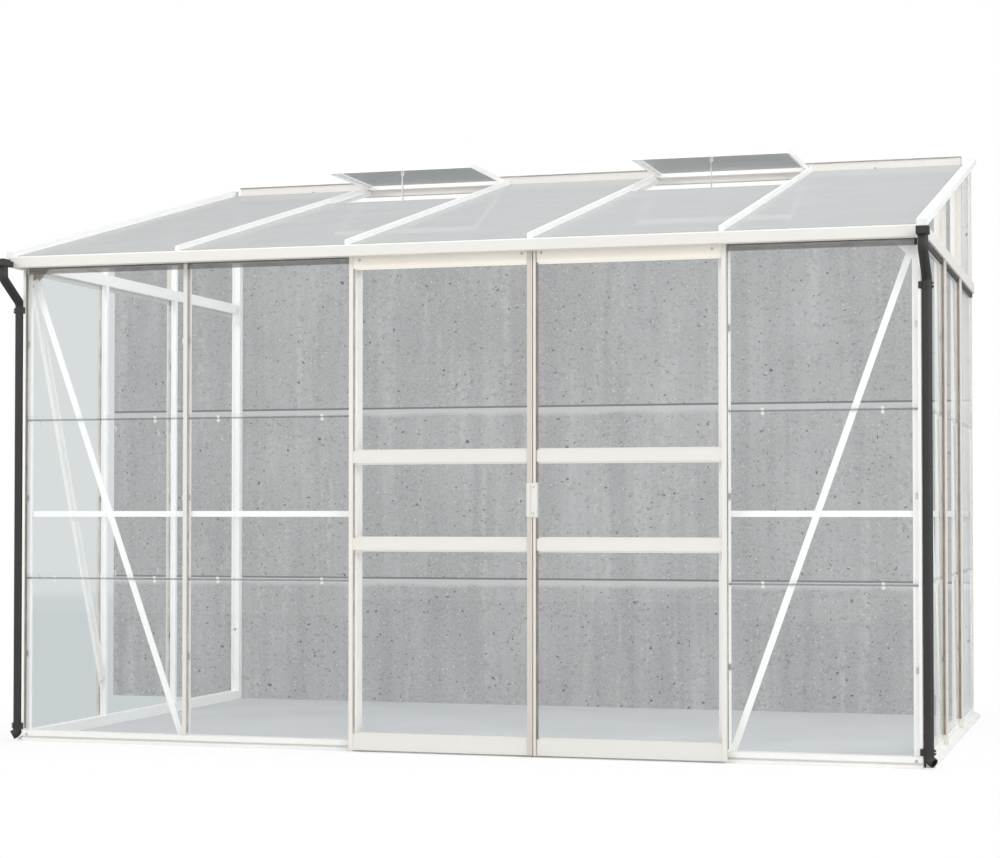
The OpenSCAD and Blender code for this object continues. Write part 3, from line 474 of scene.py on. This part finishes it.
WHITE = powder_coat("white_coat", INNER, OUTER_SHADE)
# A lit copy of the white for sills and corner posts: painted light
BRIGHT = powder_coat("bright_coat", INNER, (0.90, 0.90, 0.875))
# Rails whose top rails are lighter outdoors: painted light
RAIL = powder_coat("rail_coat", INNER, OUTER_SHADE, beyond=(2, TOP_RAILS, (0.96, 0.915, 0.83)))
# The front bar's outer fin in darker beige: painted shade
BAR = powder_coat("bar_coat", INNER, (0.76, 0.74, 0.71), streaks=0.05)
# A jamb in a light outdoor white, painted light on the flange seen behind the leaf, and past its outer
# flange a dark painted shade
JAMB = powder_coat("jamb_coat", INNER, (0.95, 0.94, 0.92),
                   beyond=(0, JAMB_FLANGE, (0.42, 0.415, 0.40)))
# Each stile has its own painted shade: a shaded inner white, and outdoor colours darkest on the left leaf's
# meeting stile
LEFT_STILE = powder_coat("left_stile_coat", STILE_SHADE, (0.84, 0.79, 0.75), streaks=0.04,
                         beyond=(0, LEFT_LEAF_MIDDLE, (0.64, 0.59, 0.53)))
RIGHT_STILE = powder_coat("right_stile_coat", STILE_SHADE, (0.80, 0.77, 0.71), streaks=0.05,
                          beyond=(0, RIGHT_LEAF_MIDDLE, (0.79, 0.785, 0.735)))
# The gables' outer bars in darker beige: painted shade
GABLE = powder_coat("gable_coat", INNER, (0.76, 0.725, 0.67), streaks=0.16)
# Roof bars in a dimmed white and the wall bar in beige: painted shade
ROOF_BAR = powder_coat("roof_bar_coat", ROOF_WHITE, ROOF_WHITE)
RIDGE = powder_coat("ridge_coat", RIDGE_SHADE, RIDGE_SHADE)
GUSSET = gusset_coat()
VENT_SILL = vent_sill_coat(INNER)
GABLE_GLASS = glazing("gable_glass", "X", FAINT_IOR)
FRONT_GLASS = glazing("front_glass", "Y", GLASS_IOR)
ROOF_GLASS = glazing("roof_glass", "roof", GLASS_IOR, ROOF_VEIL)
PIPE = moulded_plastic("black_pipe", (0.024, 0.023, 0.022), grain=500.0, rough=0.58)
RUBBER = rubber("rubber_seal", (0.035, 0.033, 0.031))
FLASHING = rubber("lead_flashing", (0.28, 0.26, 0.24))
STRIP = shade_strip()
NYLON = moulded_plastic("nylon", (0.62, 0.61, 0.58), grain=300.0, rough=0.42)
METAL = zinc()

# The finish of each material slot, and the nodes whose finish differs from that of their slot
BY_SLOT = {
    "white_frame": WHITE, "glass": FRONT_GLASS, "black_pipe": PIPE, "rubber_seal": RUBBER,
    "nylon": NYLON, "bright_metal": METAL,
}
BY_NODE = {
    "left_gable_panes": GABLE_GLASS, "right_gable_panes": GABLE_GLASS, "roof_panes": ROOF_GLASS,
    "left_vent_pane": ROOF_GLASS, "right_vent_pane": ROOF_GLASS,
    "eaves_seals": STRIP, "wall_flashing": FLASHING, "corner_gussets": GUSSET,
    "left_door_stiles": LEFT_STILE, "right_door_stiles": RIGHT_STILE,
    "left_door_rails": RAIL, "right_door_rails": RAIL, "door_jambs": JAMB,
    "front_glazing_bar": BAR, "front_sill": BRIGHT, "side_sills": BRIGHT, "corner_posts": BRIGHT,
    "gable_bars": GABLE, "gable_upper_bars": GABLE, "wall_posts": GABLE,
    "end_rafters": ROOF_BAR, "roof_bars": ROOF_BAR, "wall_bar": RIDGE, "vent_sills": VENT_SILL,
}


def dress_nodes():
    """Gives each CAD node its own finish, or that of its slot."""
    for entry in frame["record"]["subparts"]:
        name = entry["node"]
        mesh = NODES[name].data
        mesh.materials.clear()
        mesh.materials.append(BY_NODE.get(name, BY_SLOT[entry["material_slot"]]))


# Added pieces


def add_piece(name, mesh, body, material):
    mesh.materials.append(material)
    thing = bpy.data.objects.new(name, mesh)
    bpy.context.scene.collection.objects.link(thing)
    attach(thing, body)


def to_mesh(name, shape):
    bmesh.ops.recalc_face_normals(shape, faces=shape.faces)
    mesh = bpy.data.meshes.new(name)
    shape.to_mesh(mesh)
    shape.free()
    return mesh


def close_prism(shape, start, end):
    """Adds the two ends and the sides between two rings of as many points each."""
    shape.faces.new(start[::-1])
    shape.faces.new(end)
    for i in range(len(start)):
        j = (i + 1) % len(start)
        shape.faces.new((start[i], start[j], end[j], end[i]))


def extrusion(name, outline, spans, body, material, level=False):
    """Rubber profile in each span: upright with X and Y given, or level along X with Y and Z given."""
    shape = bmesh.new()
    for span in spans:
        rings = []
        for run in span:
            points = [(run, a, b) if level else (a, b, run) for a, b in outline]
            rings.append([shape.verts.new(point) for point in points])
        close_prism(shape, *rings)
    add_piece(name, to_mesh(name, shape), body, material)


# The share of its width and of its depth that a bead rounds off, and where that rounding has its corner
BEAD_ROUND = 0.3
BEAD_CORNER = 0.3


def bead(x0, x1, y0, y1):
    """Outline of a gasket: flat on its back, y1, and rounded off at its front, y0."""
    side, rise = (x1 - x0) * BEAD_ROUND, (y1 - y0) * BEAD_ROUND
    near, low = BEAD_CORNER * side, y0 + BEAD_CORNER * rise
    return ((x0, y1), (x1, y1), (x1, y0 + rise), (x1 - near, low), (x1 - side, y0),
            (x0 + side, y0), (x0 + near, low), (x0, y0 + rise))


# Gaskets

# Rubber gaskets whose colours also paint light and shade: the dark ones the shade in the gaps beside fins
# and stiles, the white one the light on the left gable's bars
SHADE_GASKET = rubber("gasket", (0.22, 0.19, 0.16))
PALE_SHADE_GASKET = rubber("pale_gasket", (0.40, 0.37, 0.33))
LIT_GASKET = rubber("white_gasket", (0.55, 0.55, 0.54))
SHADE_BRUSH = rubber("door_brush", (0.27, 0.24, 0.20))

# Heights: of a leaf between its rails, of its meeting edge, of the handle, and of the fixed bays
LEAF_SPANS = ((0.0625, 0.6765), (0.7175, 0.9675), (1.0085, 1.6225))
EDGE_SPAN = (0.010, 1.666)
HANDLE_SPAN = (0.785, 0.901)
FRONT_SPAN = (0.045, 1.655)
GABLE_SPAN = (0.05, 1.66)


def around_handle(spans):
    """Spans with the heights behind the handle taken out."""
    low, high = HANDLE_SPAN
    cut = []
    for start, end in spans:
        if start < low and end > high:
            cut += [(start, low), (high, end)]
        else:
            cut.append((start, end))
    return cut


# Each gasket of the front: its sides in X, its front and back in Y, its spans, body and finish
FRONT_GASKETS = (
    ("left_leaf_gasket", (-0.318, -0.3125), (-0.9075, -0.902), LEAF_SPANS, "left_door", PALE_SHADE_GASKET),
    ("right_leaf_gasket", (0.3225, 0.3262), (-0.9112, -0.902), around_handle(LEAF_SPANS),
     "right_door", SHADE_GASKET),
    ("right_leaf_lip", (0.3198, 0.3225), (-0.9112, -0.910), around_handle([EDGE_SPAN]),
     "right_door", SHADE_GASKET),
    ("door_brush", (0.9445, 0.9525), (-0.8894, -0.883), [FRONT_SPAN], "root", SHADE_BRUSH),
    ("corner_gasket", (-1.555, -1.5525), (-0.883, -0.869), [FRONT_SPAN], "root", SHADE_GASKET),
    ("bar_gasket", (-0.936, -0.9332), (-0.879, -0.869), [FRONT_SPAN], "root", PALE_SHADE_GASKET),
)
# The front and back faces of the two fins of a gable, and the gaskets on these faces: how far out
# they begin and end, and their thickness
GABLE_FINS = ((-0.262, -0.248), (0.36, 0.374))
GABLE_GASKET_REACH = (1.573, 1.5805)
GABLE_GASKET_T = 0.004


def add_front_gaskets():
    """Gaskets beside stiles, corner and bar, and the brush beside the right leaf, whose dark colours also
    paint the shade in the gaps there.
    """
    for name, sides, faces, spans, body, finish in FRONT_GASKETS:
        extrusion(name, bead(*sides, *faces), spans, body, finish)


def add_gable_gaskets():
    """Gasket on both faces of each gable fin: white at the left, painting the light there, and dark at the
    right, painting the shade between the fins.
    """
    for side, sign in SIDES:
        near, far = sorted(sign * reach for reach in GABLE_GASKET_REACH)
        finish = SHADE_GASKET if sign > 0 else LIT_GASKET
        for bar, (front, back) in enumerate(GABLE_FINS):
            faces = {"front": (front - GABLE_GASKET_T, front), "back": (back, back + GABLE_GASKET_T)}
            for edge, (low, high) in faces.items():
                name = f"{side}_gable_gasket_{bar}_{edge}"
                extrusion(name, bead(near, far, low, high), [GABLE_SPAN], "root", finish)


# Lap strips of painted shade

# The lower edges of the lapping front panes, and their bays
LAP_HEIGHTS = (0.576, 1.131)
GLAZED_BAYS = ((-1.5535, -0.9515), (-0.9345, -0.3335), (0.9515, 1.5535))
# A strip's outline: Y, and the height above the pane's edge
LAP_OUTLINE = ((-0.8689, 0), (-0.8689, -0.006), (-0.8699, -0.0065), (-0.8712, -0.0065),
               (-0.8722, -0.005), (-0.8722, 0))
# Dark tints of a strip, which paint the shade along each lap
LAP_SHADE = (0.24, 0.25, 0.25)
PALE_LAP_SHADE = (0.34, 0.35, 0.35)
LAP_LIGHT = (0.80, 0.81, 0.81)
# The share of a strip that shows its own surface
LAP_COVER = 0.16


def lap_shade_sheet():
    """Half-clear sheet that dims what lies behind it: painted shade."""
    g = material_graph("lap_strip")
    cloud = g.noise(g.place(), scale=60.0, detail=3.0)
    tint = g.mix(g.spread(cloud), LAP_SHADE, PALE_LAP_SHADE)
    return g.show(g.blend(LAP_COVER, g.clear(LAP_LIGHT), g.principled(tint, roughness=0.35)))


def add_lap_strips():
    """Half-clear strip of painted shade under the lower edge of each lapping front pane."""
    shade_sheet = lap_shade_sheet()
    for row, edge in enumerate(LAP_HEIGHTS):
        outline = [(deep, edge + rise) for deep, rise in LAP_OUTLINE]
        extrusion(f"front_lap_strip_{row}", outline, GLAZED_BAYS, "root", shade_sheet, level=True)


# Brace flanges

# The rear edge of a gable brace as (Y, Z) at its top and foot, and its inner face
BRACE_TOP = (-0.8247, 1.629)
BRACE_FOOT = (-0.263, 0.1684)
BRACE_INNER = 1.5595
# The flange: how far in it reaches, its thickness, and its heights above and below the mid rail
FLANGE_TIP = 1.5425
FLANGE_T = 0.002
FLANGE_SPANS = ((1.585, 0.803), (0.773, 0.185))
# Its outline, rounded at the tip: X, and the share of the thickness
FLANGE_OUTLINE = ((BRACE_INNER, 0), (FLANGE_TIP + FLANGE_T / 2, 0), (FLANGE_TIP, 0.4),
                  (FLANGE_TIP, 0.6), (FLANGE_TIP + FLANGE_T / 2, 1), (BRACE_INNER, 1))


def add_brace_flanges():
    """Inner flange along the rear edge of each gable brace, broken where the mid rail passes."""
    top, foot = Vector((0, *BRACE_TOP)), Vector((0, *BRACE_FOOT))
    run = foot - top
    thick = Vector((0, run.z, -run.y)).normalized() * FLANGE_T
    for side, sign in SIDES:
        shape = bmesh.new()
        for span in FLANGE_SPANS:
            rings = []
            for height in span:
                point = top + run * ((height - top.z) / run.z)
                points = [point + thick * share + Vector((sign * x, 0, 0))
                          for x, share in FLANGE_OUTLINE]
                rings.append([shape.verts.new(corner) for corner in points])
            close_prism(shape, *rings)
        name = f"{side}_brace_flange"
        add_piece(name, to_mesh(name, shape), "root", WHITE)


# Screws

# A domed screw with a round socket: radius and height in head radii
SCREW = ((0, 0), (1.0, 0), (1.0, 0.16), (0.93, 0.34), (0.78, 0.5), (0.6, 0.6), (0.42, 0.64),
         (0.38, 0.3), (0, 0.3))
SCREW_SIDES = 20
SCREW_AIM = (0, -1, 0)
# Head radii, and the face under each kind of head
LEAF_HEAD, HANDLE_HEAD, CLIP_HEAD = 0.0045, 0.0035, 0.003
LEAF_FACE, HANDLE_FACE, CLIP_FACE = -0.907, -0.914, -0.8795
HANDLE_X = 0.3128
CLIP_X = 1.602
CLIP_HEIGHTS = (("high", 1.516), ("low", 0.053))
DOOR_SCREWS = (
    ("left_leaf_screw_a", "left_door", LEAF_HEAD, (-0.296, LEAF_FACE, 1.651)),
    ("left_leaf_screw_b", "left_door", LEAF_HEAD, (0.271, LEAF_FACE, 1.654)),
    ("right_leaf_screw_a", "right_door", LEAF_HEAD, (0.337, LEAF_FACE, 1.655)),
    ("right_leaf_screw_b", "right_door", LEAF_HEAD, (0.906, LEAF_FACE, 1.649)),
    ("handle_screw_a", "left_door", HANDLE_HEAD, (HANDLE_X, HANDLE_FACE, 0.886)),
    ("handle_screw_b", "left_door", HANDLE_HEAD, (HANDLE_X, HANDLE_FACE, 0.800)),
)


def screw_ring(shape, turn, radius, rise):
    """Ring of points round a screw's axis, or the one point on the axis."""
    if radius == 0:
        return [shape.verts.new(turn @ Vector((0, 0, rise)))]
    angles = [2 * math.pi * i / SCREW_SIDES for i in range(SCREW_SIDES)]
    points = [(radius * math.cos(angle), radius * math.sin(angle), rise) for angle in angles]
    return [shape.verts.new(turn @ Vector(point)) for point in points]


def add_screw(name, body, radius, place):
    """Turned screw head that looks out of the front."""
    turn = Vector(SCREW_AIM).to_track_quat("Z", "Y").to_matrix().to_4x4()
    turn.translation = Vector(place)
    shape = bmesh.new()
    rings = [screw_ring(shape, turn, radius * wide, radius * rise) for wide, rise in SCREW]
    for lower, upper in zip(rings, rings[1:]):
        for i in range(SCREW_SIDES):
            j = (i + 1) % SCREW_SIDES
            ends = [ring[k % len(ring)] for ring, k in ((lower, i), (lower, j), (upper, j), (upper, i))]
            shape.faces.new(list(dict.fromkeys(ends)))
    for face in shape.faces:
        face.smooth = True
    add_piece(name, to_mesh(name, shape), body, METAL)


def add_screws():
    """Screws of the top door rails, the handle and the pipe clips."""
    for name, body, radius, place in DOOR_SCREWS:
        add_screw(name, body, radius, place)
    for side, sign in SIDES:
        for level, height in CLIP_HEIGHTS:
            name = f"{side}_clip_screw_{level}"
            add_screw(name, "root", CLIP_HEAD, (sign * CLIP_X, CLIP_FACE, height))


# Stage

# What glass shows of the surroundings: the air, the floor near by, and the floor in a mirror
AIR_THROUGH = (0.70, 0.722, 0.737)
FLOOR_THROUGH = (0.61, 0.645, 0.66)
FLOOR_MIRRORED = (0.45, 0.45, 0.45)
FLOOR_MATT = (0.9, 0.9, 0.9)
# Seen through glass, the floor turns into the air between these depths
FLOOR_END = (11.0, 13.5)
# The floor's far edges, and its front edge, which makes the change of level low in the front glass
FLOOR_FAR = 40.0
FLOOR_FRONT = -13.67
# Half sizes of the patch of floor that takes the faint shadow, the width of the shadow's soft edge,
# and the share of white left in it
SHADOW_HALF = (1.62, 1.05)
SHADOW_EDGE = 0.7
SHADOW_LEVEL = 0.72


def add_stage(name, corners, material):
    mesh = bpy.data.meshes.new(name)
    mesh.from_pydata(corners, [], [(0, 1, 2, 3)])
    mesh.materials.append(material)
    thing = bpy.data.objects.new(name, mesh)
    bpy.context.scene.collection.objects.link(thing)


def mirrored(g, rays):
    """1 for a ray that was mirrored last; a refracted ray counts as glossy too, so that is taken off."""
    return g.times(rays["Is Glossy Ray"], g.minus(1.0, rays["Is Transmission Ray"]))


def floor_finish():
    """Matt floor, white for the camera with a faint shadow round the object, darker behind glass."""
    g = material_graph("floor")
    across, deep = g.axes(g.place())[:2]
    aside = g.minus(g.size(across), SHADOW_HALF[0])
    ahead = g.minus(g.size(deep), SHADOW_HALF[1])
    shadow = g.ramp(g.larger(aside, ahead), (0.0, SHADOW_EDGE), (SHADOW_LEVEL, 1.0))
    rays = g.rays()
    result = g.blend(g.times(rays["Is Camera Ray"], shadow), g.matt(FLOOR_MATT), g.glow(PURE_WHITE))
    behind = g.mix(g.ramp(deep, FLOOR_END), FLOOR_THROUGH, AIR_THROUGH)
    result = g.blend(rays["Is Transmission Ray"], result, g.glow(behind))
    return g.show(g.blend(mirrored(g, rays), result, g.glow(FLOOR_MIRRORED)))


SCREED = (0.57, 0.585, 0.60)
PALE_SCREED = (0.62, 0.635, 0.65)


def ground_finish():
    """Smooth grey screed inside the greenhouse."""
    g = material_graph("inner_ground")
    cloud = g.noise(g.place(), scale=2.5, detail=4.0)
    return g.show(g.matt(g.mix(g.spread(cloud), SCREED, PALE_SCREED)))


# Concrete wall

CONCRETE = (0.365, 0.37, 0.375)
PALE_CONCRETE = (0.44, 0.446, 0.452)
BLOOM = (0.57, 0.57, 0.575)
# Noise that breaks the bloom up, its levels, and what they leave of it
BLOOM_BREAKS = (45.0, 6.0)
BREAK_LEVELS = (0.40, 0.56)
BREAK_SHARES = (0.1, 1.0)
# Coats over the concrete in turn: the noise, the levels between which a coat sets in, how far it
# covers, and its colour: vertical streaks, pale bloom, fine sand, and dark pocks
CONCRETE_COATS = (
    ((14.0, 6.0, (1, 1, 0.06)), (0.44, 0.62), 0.5, (0.31, 0.316, 0.32)),
    ((20.0, 8.0, (1, 1, 0.07)), (0.50, 0.70), 0.55, BLOOM),
    ((130.0, 4.0), (0.42, 0.62), 0.5, (0.52, 0.525, 0.53)),
    ((85.0, 5.0, (0.7, 1, 1)), (0.57, 0.68), 0.5, (0.24, 0.245, 0.25)),
)
# Blow holes and pale specks: how many cells of them a metre holds, the radius of a hole in cells,
# the share of cells without one, and the colour
BLOW_HOLES = (
    (8.0, 0.055, 0.35, (0.09, 0.09, 0.095)),
    (17.0, 0.085, 0.35, (0.10, 0.10, 0.105)),
    (30.0, 0.12, 0.30, (0.13, 0.13, 0.135)),
)
PALE_SPECKS = (42.0, 0.16, 0.55, (0.60, 0.60, 0.60))
# How much of the concrete a hole or speck covers
HOLE_COVER = 0.8
# Noise that makes their edges ragged: its scale, and how far it moves them
RAGGED_SCALE = 60.0
RAGGED_REACH = (0.03, 0.03, 0.02)
# Heights of the formwork joints. Each has a pale band below it, which fades between two depths that
# wander, and a dark groove, of which this is half the width
JOINTS = (1.2475, 0.5265)
BAND_FADE = (0.020, 0.040)
BAND_WANDER = 0.012
BAND_COVER = 0.75
BAND_PALE = (0.60, 0.605, 0.61)
GROOVE_HALF = 0.004
GROOVE_COVER = 0.9
GROOVE_DARK = (0.16, 0.16, 0.165)
# The share of the wall that shines by itself for every ray but a diffuse one, so that it keeps its level
WALL_GLOW = 0.75


def ragged(g, place):
    """The place, moved a little by noise."""
    noise = g.add("ShaderNodeTexNoise")
    noise.inputs["Scale"].default_value = RAGGED_SCALE
    g.link(place, noise.inputs["Vector"])
    moved = g.add("ShaderNodeVectorMath", operation="MULTIPLY_ADD")
    g.link(noise.outputs["Color"], moved.inputs[0])
    moved.inputs[1].default_value = RAGGED_REACH
    g.link(place, moved.inputs[2])
    return moved.outputs[0]


def add_holes(g, color, place, scale, radius, rarity, tint):
    """Round spots of one size over a colour, in some of the cells."""
    cells = g.add("ShaderNodeTexVoronoi")
    cells.inputs["Scale"].default_value = scale
    g.link(place, cells.inputs["Vector"])
    spot = g.below(cells.outputs["Distance"], radius)
    chosen = g.above(g.axes(cells.outputs["Color"])[0], rarity)
    return g.mix(g.times(g.times(spot, chosen), HOLE_COVER), color, tint)


def add_joint(g, color, below, wander):
    """Pale band with a wandering edge below a formwork joint, and the joint's dark groove."""
    band = g.ramp(g.plus(below, wander), BAND_FADE, (BAND_COVER, 0.0))
    color = g.mix(g.times(g.above(below, 0.0), band), color, BAND_PALE)
    groove = g.below(g.size(below), GROOVE_HALF)
    return g.mix(g.times(groove, GROOVE_COVER), color, GROOVE_DARK)


def concrete_color(g, place):
    """Fair-faced concrete: cloudy grey, vertical streaks, blow holes and two formwork joints."""
    cloud = g.noise(place, scale=2.2, detail=6.0)
    color = g.mix(g.ramp(cloud, (0.34, 0.66)), CONCRETE, PALE_CONCRETE)
    for noise, levels, most, tint in CONCRETE_COATS:
        cover = g.ramp(g.noise(place, *noise), levels, (0.0, most))
        if tint == BLOOM:
            cover = g.times(cover, g.ramp(g.noise(place, *BLOOM_BREAKS), BREAK_LEVELS, BREAK_SHARES))
        color = g.mix(cover, color, tint)
    rough = ragged(g, place)
    for kind in BLOW_HOLES:
        color = add_holes(g, color, rough, *kind)
    color = add_holes(g, color, place, *PALE_SPECKS)
    wander = g.ramp(g.noise(place, scale=7.0, detail=4.0), (0.0, 1.0), (-BAND_WANDER, BAND_WANDER))
    high = g.axes(place)[2]
    for height in JOINTS:
        color = add_joint(g, color, g.minus(height, high), wander)
    return color


def within(g, place, limits):
    """1 where a spot of the wall lies between two ends and under a top."""
    across, _, high = g.axes(place)
    left, right, top = limits
    between = g.times(g.above(across, left), g.below(across, right))
    return g.times(between, g.below(high, top))


def wall_finish():
    """Concrete seen from its front only: through glass, mirrored in it, and straight behind the frame."""
    g = material_graph("wall")
    place = g.place()
    color = concrete_color(g, place)
    rays = g.rays()
    glow_share = g.times(g.minus(1.0, rays["Is Diffuse Ray"]), WALL_GLOW)
    shown = g.blend(glow_share, g.matt(color), g.glow(color))
    through = g.larger(rays["Is Transmission Ray"], rays["Is Diffuse Ray"])
    looks = ((mirrored(g, rays), WALL_MIRRORED), (rays["Is Camera Ray"], WALL_DIRECT),
             (through, WALL_THROUGH))
    visible = 0.0
    for look, limits in looks:
        visible = g.larger(visible, g.times(look, within(g, place, limits)))
    front = g.minus(1.0, g.add("ShaderNodeNewGeometry").outputs["Backfacing"])
    return g.show(g.blend(g.times(visible, front), g.clear(PURE_WHITE), shown))


# The inner ground lies this far inside the sill's ends, and this far above the floor
GROUND_INSET = 0.002
GROUND_RISE = 0.001


def make_stage():
    """Floor, inner ground and wall."""
    corners = [(-FLOOR_FAR, FLOOR_FRONT, 0), (FLOOR_FAR, FLOOR_FRONT, 0),
               (FLOOR_FAR, FLOOR_FAR, 0), (-FLOOR_FAR, FLOOR_FAR, 0)]
    add_stage("floor", corners, floor_finish())
    sill_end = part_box("front_sill")[1]
    edge, front = sill_end[0] - GROUND_INSET, sill_end[1]
    corners = [(-edge, front, GROUND_RISE), (edge, front, GROUND_RISE),
               (edge, WALL_Y, GROUND_RISE), (-edge, WALL_Y, GROUND_RISE)]
    add_stage("inner_ground", corners, ground_finish())
    left, right, top = WALL_MIRRORED
    corners = [(left, WALL_Y, 0), (right, WALL_Y, 0), (right, WALL_Y, top), (left, WALL_Y, top)]
    add_stage("wall", corners, wall_finish())


# Light

# The level of the world's own light
WORLD_LIGHT = 0.66
# Square lamps that look at the object's middle: the place, the side in metres and the power in watts
LAMP_AIM = (0, 0, 1.0)
LAMPS = {
    "key": ((-4.5, -6.5, 5.0), 2.0, 150.0),
    "fill": ((6.0, -6.5, 4.5), 3.0, 135.0),
    "top": ((1.0, 0.0, 7.0), 5.0, 165.0),
    "side": ((7.5, -1.5, 2.4), 3.0, 110.0),
}


def background(g, color, strength=1.0):
    node = g.add("ShaderNodeBackground")
    g.feed(node.inputs["Color"], color)
    node.inputs["Strength"].default_value = strength
    return node.outputs[0]


def make_world():
    """White behind the object for the camera, and a softer level for the light itself."""
    world = bpy.data.worlds.new("world")
    bpy.context.scene.world = world
    g = Graph(world, "ShaderNodeOutputWorld")
    rays = g.rays()
    result = background(g, PURE_WHITE, WORLD_LIGHT)
    looks = {"Is Glossy Ray": PURE_WHITE, "Is Transmission Ray": AIR_THROUGH, "Is Camera Ray": PURE_WHITE}
    for ray, color in looks.items():
        result = g.blend(rays[ray], result, background(g, color))
    g.show(result)


def add_lamp(name, place, size, power):
    data = bpy.data.lights.new(name, "AREA")
    data.shape = "SQUARE"
    data.size = size
    data.energy = power
    lamp = bpy.data.objects.new(name, data)
    lamp.location = place
    aim = Vector(LAMP_AIM) - Vector(place)
    lamp.rotation_euler = aim.to_track_quat("-Z", "Y").to_euler()
    bpy.context.scene.collection.objects.link(lamp)


make_camera()
dress_nodes()
add_front_gaskets()
add_gable_gaskets()
add_lap_strips()
add_brace_flanges()
add_screws()
make_stage()
make_world()
for lamp_name, lamp_facts in LAMPS.items():
    add_lamp(lamp_name, *lamp_facts)
bpy.context.scene.view_settings.view_transform = "Standard"
